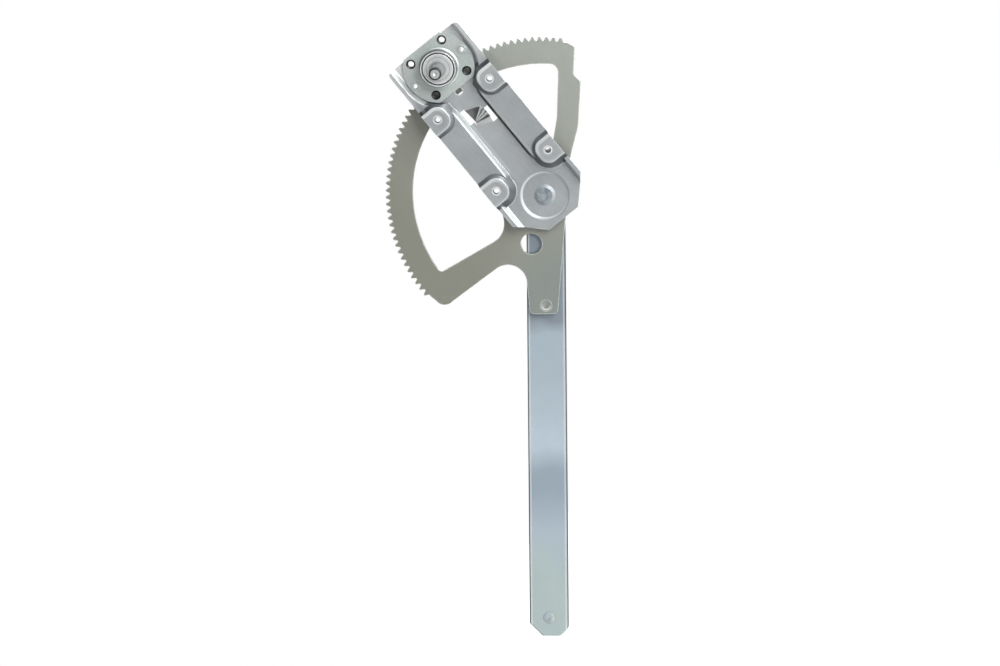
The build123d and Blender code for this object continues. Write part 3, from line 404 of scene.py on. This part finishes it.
def turned_group():
    """Fine rings that a lathe or a spinning tool leaves round an axis along Y."""
    tree, given, result = group_with(
        "turned_rings", [("Centre", VECTOR, CRANK_AXIS)], [("Mask", FLOAT)])
    outward = tree.nodes.new("ShaderNodeCombineXYZ")
    tree.links.new(off_axis(tree, given["Centre"]), outward.inputs["X"])
    rings = noise(tree, outward.outputs["Vector"], RING_SCALE, 3.0, 0.6)
    fill(tree, result["Mask"], span(tree, rings, 0.36, 0.66))
    return tree


MOTTLE = mottle_group()
GRAIN = grain_group()
EDGES = edge_group()
PAD_PRESS = pad_press_group()
FOUR_HOLES = four_holes_group()
ROUND_BAND = round_band_group()
TURNED = turned_group()


# ---- marks of manufacture, and painted light and shade ---------------------
# Bands of painted reflection along the arm, after a painted shadow below the sector's
# tail: from, to, colour reached.
ARM_BANDS = ((0.106, 0.119, ARM_BLUE), (0.150, 0.185, ARM_PALE),
             (0.203, 0.225, ARM_DULL), (0.240, 0.275, ARM_BLUE),
             (0.275, 0.310, ARM_GREEN))
# Painted highlight and painted shade, either side of the arm's middle line.
ARM_LIGHT_LINE = ((0.0130, 0.0), (0.0136, 0.5), (0.0142, 0.5), (0.0146, 0.0))
ARM_DARK_SIDE = (0.0146, 0.0150, 0.0, 0.95)

# The sector's colours run along a slant across it; its tail has one of its own.
SECTOR_SLANT = (1.0, 0.0, 0.25)
SECTOR_RUN = (-0.11, 0.10)
SECTOR_TAIL_RUN = (-0.085, -0.115)

# Middle and half height of the stop strap, and its left fold, where the painted fan of
# light and shade meets.
STRAP_Z = 0.0187
STRAP_HALF = 0.0110
FOLD_X = -0.0080
FOLD_Z = 0.0152
# The strap's painted light and shade against the slope from that fold: (rise over run,
# level).
STRAP_FAN = ((-0.70, 0.85), (-0.24, 0.95), (-0.18, 0.12), (-0.06, 0.12),
             (0.00, 0.85), (0.09, 0.90), (0.13, 0.18), (0.19, 0.15), (0.23, 0.95),
             (0.34, 0.95), (0.38, 0.12), (0.44, 0.15), (0.48, 0.55), (0.52, 0.60),
             (0.55, 1.0), (0.64, 1.0), (0.68, 0.04), (1.60, 0.10))

# Stops along the plate, then its lengthwise bands, mostly painted light and shade:
# stops across it, along it, colour.
BETWEEN_PADS = ((-0.036, 0.0), (-0.030, 1.0), (0.030, 1.0), (0.036, 0.0))
PLATE_ENDS = ((-0.050, 1.0), (-0.046, 0.0), (0.046, 0.0), (0.050, 1.0))
ABOVE_DISH = ((-0.050, 0.0), (-0.035, 1.0))
DRIVE_SEAT = ((0.052, 0.0), (0.062, 1.0))
PLATE_BANDS = (
    # painted shade at the foot and painted highlight on the upper bend of the channel's
    # right wall
    (((0.0107, 0.0), (0.0112, 1.0), (0.0128, 1.0), (0.0132, 0.0)),
     BETWEEN_PADS, SOOT),
    (((0.0131, 0.0), (0.0135, 1.0), (0.0146, 1.0), (0.0150, 0.0)),
     BETWEEN_PADS, BARE_EDGE),
    # painted shade dimming the highlight on the channel's left wall, and a painted
    # highlight on the floor beside it
    (((-0.0146, 0.0), (-0.0136, 1.0), (-0.0112, 1.0), (-0.0104, 0.0)),
     BETWEEN_PADS, SOFT_SLOPE),
    (((-0.0106, 0.0), (-0.0102, 0.45), (-0.0078, 0.0)),
     BETWEEN_PADS, BARE_EDGE),
    # painted shade dimming the highlight on the left edge above and below the pads
    (((-0.0335, 0.0), (-0.0328, 0.8), (-0.0306, 0.8), (-0.0300, 0.0)),
     PLATE_ENDS, SOFT_SLOPE),
    # the channel's floor, a little brighter with painted light
    (((-0.0112, 0.0), (-0.0098, 0.09), (0.0098, 0.09), (0.0112, 0.0)),
     ABOVE_DISH, BARE_EDGE),
    # the flanges on either side of the channel, a little duller
    (((-0.0146, 0.2), (-0.0140, 0.0), (0.0140, 0.0), (0.0146, 0.2)),
     BETWEEN_PADS, PLATE_DULL),
    # painted light on the seat on either side of the drum, lifting the drum's shadow
    (((-0.0300, 0.35), (-0.0285, 0.85), (-0.0215, 0.85), (-0.0180, 0.0),
      (0.0180, 0.0), (0.0230, 0.45), (0.0300, 0.45)),
     DRIVE_SEAT, BARE_EDGE),
)

# Rings about an axis along Y: inner and outer radius, share, colour.
# The dish: a painted highlight ring, and a painted shade ring outside it.
DISH_RINGS = ((0.0181, 0.0190, 0.55, BARE_EDGE), (0.0195, 0.0203, 0.30, DRAWN_DULL))
# The peep hole's rim and bore: a painted highlight.
PEEP_RING = ((0.0, 0.0038, 1.0, BARE_EDGE),)
# The driver: painted highlight on the edge, painted shade outside it, two painted
# reflections of the collar.
DRIVER_RINGS = ((0.0112, 0.0124, 1.0, BARE_EDGE), (0.0122, 0.0134, 1.0, SOOT),
                (0.0090, 0.0096, 1.0, TURNED_DULL),
                (0.0066, 0.0072, 1.0, TURNED_DULL))
# Painted highlight on the spindle's tip.
TIP_RING = ((0.0, 0.0036, 1.0, TIP_BRIGHT),)


def ringed(tree, colour, rings, centre=CRANK_AXIS):
    """Rings of other colours about an axis along Y."""
    for inner, outer, share, tone in rings:
        ring = placed(tree, ROUND_BAND, Centre=centre, Inner=inner, Outer=outer)
        colour = blend(tree, product(tree, ring["Mask"], share), colour, tone)
    return colour


def arm_bath(tree):
    """Colour of the long bar: broad bands of painted reflection along it, after a
    painted shadow near the pivot under the sector's tail.
    """
    place = coordinates(tree)
    along = wandering(tree, distance_along(tree, place, PIVOT, ARM_ALONG), place,
                      BATH_SCALE, 0.035)
    # Painted shadow under the sector's tail, then painted reflections.
    colour = ARM_SHADE
    for start, end, tone in ARM_BANDS:
        colour = blend(tree, span(tree, along, start, end), colour, tone)
    return colour


def sector_drift(tree):
    """Colour of the toothed plate, paler towards its right leg."""
    place = coordinates(tree)
    across = wandering(tree, vectors(tree, "DOT_PRODUCT", place, SECTOR_SLANT),
                       place, DRIFT_SCALE, 0.10)
    colour = blend(tree, span(tree, across, *SECTOR_RUN), SECTOR_OLIVE, SECTOR_PALE)
    z = axes_of(tree, place)[2]
    return blend(tree, span(tree, z, *SECTOR_TAIL_RUN), colour, SECTOR_TAIL)


def strap_streaks(tree, colour):
    """Painted shade and highlights that fan out over the folded stop strap."""
    place = coordinates(tree)
    x, y, z = axes_of(tree, place)
    near = span(tree, sums(tree, "ABSOLUTE", x), 0.0068, 0.0062)
    beyond = folded(tree, sums(tree, "SUBTRACT", z, STRAP_Z), STRAP_HALF)
    behind = span(tree, y, 0.0072, 0.0078)
    mask = product(tree, near, span(tree, beyond, 0.0010, 0.0), behind, 0.95)
    run = sums(tree, "MAXIMUM", sums(tree, "SUBTRACT", x, FOLD_X), 0.0010)
    slope = sums(tree, "DIVIDE", sums(tree, "SUBTRACT", z, FOLD_Z), run)
    stray = span(tree, noise(tree, place, SCORE_SCALE, 2.0), 0.3, 0.7, -0.025, 0.025)
    level = steps(tree, sums(tree, "ADD", slope, stray), STRAP_FAN)
    return blend(tree, mask, colour, blend(tree, level, SOOT, BARE_EDGE))


def plate_marks(tree, colour):
    """Painted shade and highlights round the pads, bands along the plate, mostly
    painted light and shade, painted shade in the drive bolt holes, painted rings on the
    dish, a painted highlight in the peep hole and the painted light fanned over the
    strap."""
    pads = placed(tree, PAD_PRESS, Draw=0.95, Burnish=0.8)
    # Painted shade on the pads' walls, painted highlight on their bends.
    colour = blend(tree, pads["Wall"], colour, DRAWN_DULL)
    colour = blend(tree, pads["Bend"], colour, BARE_EDGE)
    x, _, z = axes_of(tree, coordinates(tree))
    lengthwise = {stops: steps(tree, z, stops)
                  for stops in (BETWEEN_PADS, PLATE_ENDS, ABOVE_DISH, DRIVE_SEAT)}
    for across, along, tone in PLATE_BANDS:
        band = product(tree, steps(tree, x, across), lengthwise[along])
        colour = blend(tree, band, colour, tone)
    # Painted shade in and round the four drive bolt holes.
    collars = placed(tree, FOUR_HOLES, Outer=0.0040)
    colour = blend(tree, collars["Mask"], colour, SOOT)
    # Painted highlight and shade rings on the dish.
    colour = ringed(tree, colour, DISH_RINGS, DISH_AXIS)
    # Painted highlight in the peep hole.
    colour = ringed(tree, colour, PEEP_RING, PEEP_HOLE)
    return strap_streaks(tree, colour)


def drum_marks(tree, colour):
    """Painted shade in the threaded mouths and on the outer wall, and a painted
    highlight on the rolled rim.
    """
    # Painted shade in the four threaded holes.
    holes = placed(tree, FOUR_HOLES, Outer=0.0038)
    colour = blend(tree, holes["Mask"], colour, SOOT)
    y = axes_of(tree, coordinates(tree))[1]
    # Painted shade on the outer wall, darkest at its top.
    drawn = blend(tree, span(tree, y, -0.0006, 0.0002), SOOT, WALL_DULL)
    wall = placed(tree, ROUND_BAND, Inner=0.0142, Outer=0.0154)
    colour = blend(tree, wall["Mask"], colour, drawn)
    # Painted highlight on the rim.
    rim = placed(tree, ROUND_BAND, Inner=0.0134, Outer=0.0145, Fade=0.0002)
    return blend(tree, rim["Mask"], colour, BARE_EDGE)


def driver_marks(tree, colour):
    """A painted highlight on the disc's edge with painted shade outside it, and two
    darker circles painted as the spindle collar's edge and reflection.
    """
    return ringed(tree, colour, DRIVER_RINGS)


def spindle_marks(tree, colour):
    """Painted dark reflection on the splines, darkest towards the tip, round a painted
    highlight on the turned tip.
    """
    y = axes_of(tree, coordinates(tree))[1]
    end = span(tree, y, -0.0190, -0.0215, 0.2, 1.0)
    splines = placed(tree, ROUND_BAND, Inner=0.0037, Outer=0.0056)
    colour = blend(tree, product(tree, splines["Mask"], end), colour, SOOT)
    return ringed(tree, colour, TIP_RING)


def arm_marks(tree, colour):
    """Painted shade along the long bar's sides, with a painted highlight line just
    inside them.
    """
    across = distance_along(tree, coordinates(tree), PIVOT, ARM_ACROSS)
    across = sums(tree, "ABSOLUTE", across)
    colour = blend(tree, steps(tree, across, ARM_LIGHT_LINE), colour, BARE_EDGE)
    return blend(tree, span(tree, across, *ARM_DARK_SIDE), colour, SOOT)


def stud_marks(tree, colour):
    """The stud's riveted end, with painted shade on one side and a painted highlight on
    the other.
    """
    side = distance_along(tree, coordinates(tree), ROLLER_STUD, ARM_ACROSS)
    colour = blend(tree, span(tree, side, -0.0030, -0.0005), PEENED_SHADE, colour)
    return blend(tree, span(tree, side, 0.0005, 0.0030, 0.0, 0.6), colour, BARE_EDGE)


def rivet_marks(tree, colour):
    """A painted highlight arc round the lower side of the tail rivet's dimple."""
    ring = placed(tree, ROUND_BAND, Centre=TAIL_RIVET, Inner=0.0022, Outer=0.0043,
                  Fade=0.0008)
    along = distance_along(tree, coordinates(tree), TAIL_RIVET, ARM_ALONG)
    lower = span(tree, along, -0.0012, 0.0022)
    return blend(tree, product(tree, ring["Mask"], lower, 0.7), colour, BARE_EDGE)


def peened_marks(tree, colour):
    """Dark hammered facets on the riveted end of the arm pivot."""
    hammered = noise(tree, coordinates(tree), HAMMER_SCALE, 3.0, 0.65)
    end = placed(tree, ROUND_BAND, Centre=PIVOT, Inner=0.0, Outer=0.0074, Fade=0.0018)
    struck = product(tree, span(tree, hammered, 0.42, 0.60), end["Mask"], 0.75)
    return blend(tree, struck, colour, PEENED_DARK)


def insert_marks(tree, colour):
    """A bright rolled rim round each threaded insert."""
    rim = placed(tree, FOUR_HOLES, **{"Half X": PAD_X, "Half Z": PAD_Z,
                                      "Middle Z": 0.0, "Inner": 0.0025,
                                      "Outer": 0.0040})
    return blend(tree, rim["Mask"], colour, BARE_EDGE)


# ---- finishes --------------------------------------------------------------
BUMP_DISTANCE = 0.0001
ALONG_PLATE = (1.0, 1.0, 0.25)


def surface(name, light, dull, metallic, smooth, rough, cloud=0.4, speckle=0.25,
            streak=0.2, stretch=(1, 1, 1), grain=900.0, depth=0.10, rub=0.6,
            reach=0.0006, dirt=0.5, rings=0.0, edge=BARE_EDGE, base=None,
            marks=None):
    """A finish: mottled colour, drawn grain, rubbed edges with painted highlights, and
    painted shade in corners.
    """
    material = bpy.data.materials.new(name)
    material.use_nodes = True
    tree = material.node_tree
    shader = tree.nodes["Principled BSDF"].inputs
    shader["Metallic"].default_value = metallic
    mottle = placed(tree, MOTTLE, Light=base(tree) if base else light, Dull=dull,
                    Stretch=stretch, Cloud=cloud, Speckle=speckle, Streak=streak)
    colour = mottle["Color"]
    if rings:
        turned = placed(tree, TURNED)
        colour = blend(tree, product(tree, turned["Mask"], rings), colour, dull)
    edges = placed(tree, EDGES, Rub=rub, Dirt=dirt, Reach=reach)
    # Rubbed edges with painted highlights, then painted shade in the corners.
    colour = blend(tree, edges["Edge"], colour, edge)
    colour = blend(tree, edges["Corner"], colour, CORNER_DIRT)
    if marks:
        colour = marks(tree, colour)
    fine = placed(tree, GRAIN, Stretch=stretch, Scale=grain, Smooth=smooth,
                  Rough=rough)
    bump = tree.nodes.new("ShaderNodeBump")
    bump.inputs["Distance"].default_value = BUMP_DISTANCE
    bump.inputs["Strength"].default_value = depth
    tree.links.new(fine["Height"], bump.inputs["Height"])
    tree.links.new(colour, shader["Base Color"])
    tree.links.new(fine["Roughness"], shader["Roughness"])
    tree.links.new(bump.outputs["Normal"], shader["Normal"])
    return material


FINISHES = {
    "zinc_plate": surface(
        "plate_zinc", PLATE_ZINC, PLATE_DULL, metallic=0.4, smooth=0.31, rough=0.35,
        cloud=0.35, speckle=0.4, streak=0.15, stretch=ALONG_PLATE, depth=0.006,
        rub=0.8, reach=0.0012, dirt=0.25, marks=plate_marks),
    "drum_zinc": surface(
        "drum_zinc", DRUM_ZINC, DRUM_DULL, metallic=0.4, smooth=0.30, rough=0.36,
        cloud=0.35, speckle=0.35, rings=0.15, depth=0.015, rub=0.9, reach=0.0009,
        dirt=0.5, marks=drum_marks),
    "sector_steel": surface(
        "sector_steel", SECTOR_PALE, SECTOR_OLIVE, metallic=0.3, smooth=0.32,
        rough=0.46, cloud=0.12, speckle=0.12, streak=0.08, grain=500.0, depth=0.02,
        rub=1.0, reach=0.0016, base=sector_drift),
    # The arm's edge mark is painted dark, as shade along its edges.
    "arm_zinc": surface(
        "arm_zinc", ARM_BLUE, ARM_DULL, metallic=0.4, smooth=0.28, rough=0.36,
        cloud=0.15, speckle=0.08, streak=0.06, grain=600.0, depth=0.008, rub=1.0,
        reach=0.0011, dirt=0.4, edge=SOOT, base=arm_bath, marks=arm_marks),
    "zinc_fastener": surface(
        "fastener_zinc", PEENED_BLUE, TURNED_DULL, metallic=0.4, smooth=0.25,
        rough=0.40, cloud=0.3, speckle=0.5, grain=420.0, depth=0.5, dirt=0.3,
        marks=insert_marks),
    "spindle_steel": surface(
        "spindle_steel", TURNED_STEEL, TURNED_DULL, metallic=0.5, smooth=0.26,
        rough=0.38, cloud=0.1, speckle=0.1, rings=0.3, depth=0.012, rub=0.5,
        dirt=0.4, marks=spindle_marks),
    "driver_steel": surface(
        "driver_steel", DRIVER_PALE, TURNED_DULL, metallic=0.4, smooth=0.26,
        rough=0.38, cloud=0.1, speckle=0.05, rings=0.35, depth=0.012, rub=0.6,
        reach=0.0009, dirt=0.3, marks=driver_marks),
    "spring_steel": surface(
        "spring_steel", OILED_STEEL, OILED_LIGHT, metallic=0.6, smooth=0.28,
        rough=0.42, rub=0.2),
    "bronze": surface(
        "bush_bronze", BRONZE, BRONZE_DULL, metallic=0.7, smooth=0.36, rough=0.50,
        grain=1600.0, rub=0.3),
    "nylon": surface(
        "roller_nylon", NYLON, NYLON_SHADE, metallic=0.0, smooth=0.42, rough=0.52,
        speckle=0.1, depth=0.04, rub=0.0, dirt=0.3),
}
# Pieces whose finish isn't that of their slot.
OWN_FINISH = {
    "pivot_pin": surface(
        "peened_zinc", PIVOT_GREY, PIVOT_SHADE, metallic=0.3, smooth=0.32,
        rough=0.50, cloud=0.2, speckle=0.5, grain=420.0, depth=0.6, rub=0.1,
        dirt=0.2, marks=peened_marks),
    "tail_rivet": surface(
        "rivet_steel", SECTOR_TAIL, SECTOR_OLIVE, metallic=0.3, smooth=0.32,
        rough=0.46, cloud=0.2, speckle=0.2, grain=500.0, depth=0.05, rub=0.2,
        dirt=0.3, marks=rivet_marks),
    "roller_stud": surface(
        "stud_zinc", ARM_GREEN, ARM_DULL, metallic=0.4, smooth=0.30, rough=0.42,
        cloud=0.2, speckle=0.2, grain=500.0, depth=0.05, rub=0.3, dirt=0.3,
        marks=stud_marks),
}
OILY_THREAD = surface(
    "oily_thread", THREAD_GREY, OILED_STEEL, metallic=0.5, smooth=0.30, rough=0.42,
    cloud=0.3, speckle=0.4, rub=0.5, reach=0.0002, dirt=0.3)

for part in frame["record"]["subparts"]:
    node = frame["nodes"][part["node"]]
    finish = OWN_FINISH.get(part["node"], FINISHES[part["material_slot"]])
    node.data.materials.clear()
    node.data.materials.append(finish)


# ---- threads ---------------------------------------------------------------
THREAD_PITCH = 0.001
THREAD_HALF = 0.00042        # half the width of the ridge at its root
THREAD_ROOT = 0.00252        # radius, just inside the bore's wall
THREAD_CREST = 0.00222
THREAD_STEPS = 24            # sections in a turn
PAD_THREAD = (0.0003, 0.0055)         # front and back end along Y
DRIVE_THREAD = (0.0066, 0.00818)


def linked(name, mesh, material):
    """An object in the scene that shows a mesh in one material."""
    mesh.materials.append(material)
    piece = bpy.data.objects.new(name, mesh)
    bpy.context.collection.objects.link(piece)
    return piece


def thread_ridge(name, x, z, ends):
    """The cut thread inside a bore along Y, as one wound ridge on the bore's wall."""
    first = ends[0] + THREAD_HALF
    last = int((ends[1] - THREAD_HALF - first) / THREAD_PITCH * THREAD_STEPS)
    ridge = bmesh.new()
    before = None
    for step in range(last + 1):
        turn = 2 * math.pi * step / THREAD_STEPS
        depth = first + THREAD_PITCH * step / THREAD_STEPS
        section = [ridge.verts.new((x + radius * math.cos(turn), depth + shift,
                                    z + radius * math.sin(turn)))
                   for radius, shift in ((THREAD_ROOT, -THREAD_HALF),
                                         (THREAD_CREST, 0.0),
                                         (THREAD_ROOT, THREAD_HALF))]
        if before:
            for here in range(3):
                after = (here + 1) % 3
                ridge.faces.new((before[here], before[after], section[after],
                                 section[here]))
        else:
            ridge.faces.new(section)
        before = section
    ridge.faces.new(before)
    bmesh.ops.recalc_face_normals(ridge, faces=ridge.faces)
    mesh = bpy.data.meshes.new(name)
    ridge.to_mesh(mesh)
    ridge.free()
    piece = linked(name, mesh, OILY_THREAD)
    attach(piece, "base")


for number, (side, end) in enumerate(((-1, -1), (1, -1), (-1, 1), (1, 1)), 1):
    thread_ridge("pad_thread_%d" % number, side * PAD_X, end * PAD_Z, PAD_THREAD)
    thread_ridge("drive_thread_%d" % number, side * DRIVE_HOLE,
                 CRANK_AXIS[2] + end * DRIVE_HOLE, DRIVE_THREAD)


# ---- sight -----------------------------------------------------------------
IMAGE_WIDTH = 1000
IMAGE_HEIGHT = 666
METRES_PER_PIXEL = 0.0008
PIVOT_PIXEL = (544.8, 195.1)
CAMERA_DISTANCE = 2.4
SIGHT = Vector((0.193978, -0.978019, 0.076497))      # from the part to the camera
RIGHT = Vector((0.766570, 0.102456, -0.633935))
UP = Vector((0.612163, 0.181610, 0.769594))
MIDDLE = (PIVOT + RIGHT * (IMAGE_WIDTH / 2 - PIVOT_PIXEL[0]) * METRES_PER_PIXEL
          - UP * (IMAGE_HEIGHT / 2 - PIVOT_PIXEL[1]) * METRES_PER_PIXEL)


def aim_camera():
    """A parallel view along the sight, upright with the hanging arm."""
    data = bpy.data.cameras.new("camera")
    data.type = "ORTHO"
    data.ortho_scale = IMAGE_WIDTH * METRES_PER_PIXEL
    camera = bpy.data.objects.new("camera", data)
    bpy.context.collection.objects.link(camera)
    turn = Matrix((RIGHT, UP, SIGHT)).transposed().to_4x4()
    camera.matrix_world = Matrix.Translation(MIDDLE + SIGHT * CAMERA_DISTANCE) @ turn
    bpy.context.scene.camera = camera


aim_camera()


# ---- studio ----------------------------------------------------------------
WORLD_FILL = 0.30            # the world's strength on matt surfaces
FLOOR_HEIGHT = -0.47
FLOOR_HALF = 2.5
FLOOR_TONE = 0.88
FLOOR_GLOW = 0.94
CARD_DISTANCE = 1.5
CARD_RADIUS = 0.68
CARD_CORNERS = 24
CARD_TONE = 0.02
SCREEN_RADIUS = 0.50
SCREEN_DEPTHS = (-0.42, 0.10)         # back and front edge along the sight
SCREEN_START = 100                    # degrees from the right, towards the top
SCREEN_SWEEP = 278
SCREEN_PANES = 24
SCREEN_TONE = 0.015
# Lamps: direction from the part, distance, size, power.
LAMPS = {"key_panel": (SIGHT * 0.62 + UP * 0.68 + RIGHT * 0.60, 2.1, 2.0, 100),
         "back_panel": (SIGHT * -1.0 + UP * 0.5, 1.6, 1.2, 16)}


def seen_directly(tree):
    """1 for camera, mirror and glass rays."""
    path = tree.nodes.new("ShaderNodeLightPath").outputs
    mirrored = sums(tree, "MAXIMUM", path["Is Camera Ray"], path["Is Glossy Ray"])
    return sums(tree, "MAXIMUM", mirrored, path["Is Transmission Ray"])


def white_world():
    """White wherever it is seen or mirrored, a softer fill on matt surfaces."""
    world = bpy.data.worlds.new("studio")
    bpy.context.scene.world = world
    world.use_nodes = True
    tree = world.node_tree
    tree.nodes.clear()
    choose = tree.nodes.new("ShaderNodeMixShader")
    tree.links.new(seen_directly(tree), choose.inputs["Fac"])
    for socket, strength in ((1, WORLD_FILL), (2, 1.0)):
        glow = tree.nodes.new("ShaderNodeBackground")
        glow.inputs["Color"].default_value = WHITE
        glow.inputs["Strength"].default_value = strength
        tree.links.new(glow.outputs["Background"], choose.inputs[socket])
    out = tree.nodes.new("ShaderNodeOutputWorld")
    tree.links.new(choose.outputs["Shader"], out.inputs["Surface"])


def matt(name, tone, roughness=0.95):
    """A plain matt material of one grey."""
    material = bpy.data.materials.new(name)
    material.use_nodes = True
    shader = material.node_tree.nodes["Principled BSDF"]
    shader.inputs["Base Color"].default_value = (tone, tone, tone, 1)
    shader.inputs["Roughness"].default_value = roughness
    return material


def staged(name, corners, faces, material):
    """A piece of the studio; it isn't part of the object."""
    mesh = bpy.data.meshes.new(name)
    mesh.from_pydata([tuple(corner) for corner in corners], [], faces)
    piece = linked(name, mesh, material)
    return piece


def around(degrees):
    """A direction square to the sight, turned from the right towards the top."""
    turn = math.radians(degrees)
    return RIGHT * math.cos(turn) + UP * math.sin(turn)


def pale_floor():
    """White floor under the part; its own shade keeps the part's shadow."""
    material = matt("floor_white", FLOOR_TONE, 0.85)
    tree = material.node_tree
    shader = tree.nodes["Principled BSDF"]
    shader.inputs["Emission Color"].default_value = WHITE
    tree.links.new(product(tree, seen_directly(tree), FLOOR_GLOW),
                   shader.inputs["Emission Strength"])
    corners = [(x * FLOOR_HALF, y * FLOOR_HALF, FLOOR_HEIGHT)
               for x, y in ((-1, -1), (1, -1), (1, 1), (-1, 1))]
    staged("floor", corners, [(0, 1, 2, 3)], material)


def dark_card(name, distance):
    """A dark card square to the sight, for the flats to mirror; lamps pass it."""
    centre = MIDDLE + SIGHT * distance
    corners = [centre + around(corner * (360 / CARD_CORNERS)) * CARD_RADIUS
               for corner in range(CARD_CORNERS)]
    card = staged(name, corners, [tuple(range(CARD_CORNERS))],
                  matt(name + "_cloth", CARD_TONE))
    card.visible_camera = False
    card.visible_diffuse = False
    card.visible_shadow = False


def dark_screen():
    """Black cloth round the part's back edge, open at the upper right for the lamp."""
    corners = []
    for pane in range(SCREEN_PANES + 1):
        side = around(SCREEN_START + pane * (SCREEN_SWEEP / SCREEN_PANES))
        corners += [MIDDLE + side * SCREEN_RADIUS + SIGHT * depth
                    for depth in SCREEN_DEPTHS]
    faces = [(first, first + 1, first + 3, first + 2)
             for first in range(0, 2 * SCREEN_PANES, 2)]
    screen = staged("black_screen", corners, faces, matt("black_cloth", SCREEN_TONE))
    screen.visible_camera = False


def lit_panel(name, toward, distance, size, power):
    """A soft square lamp that faces the part from a direction."""
    data = bpy.data.lights.new(name, "AREA")
    data.size = size
    data.energy = power
    lamp = bpy.data.objects.new(name, data)
    bpy.context.collection.objects.link(lamp)
    lamp.location = MIDDLE + toward.normalized() * distance
    lamp.rotation_euler = toward.normalized().to_track_quat("Z", "Y").to_euler()
    lamp.visible_camera = False


white_world()
pale_floor()
dark_screen()
dark_card("front_card", CARD_DISTANCE)
dark_card("back_card", -CARD_DISTANCE)
for name, lamp in LAMPS.items():
    lit_panel(name, *lamp)

bpy.context.scene.view_settings.view_transform = "Standard"
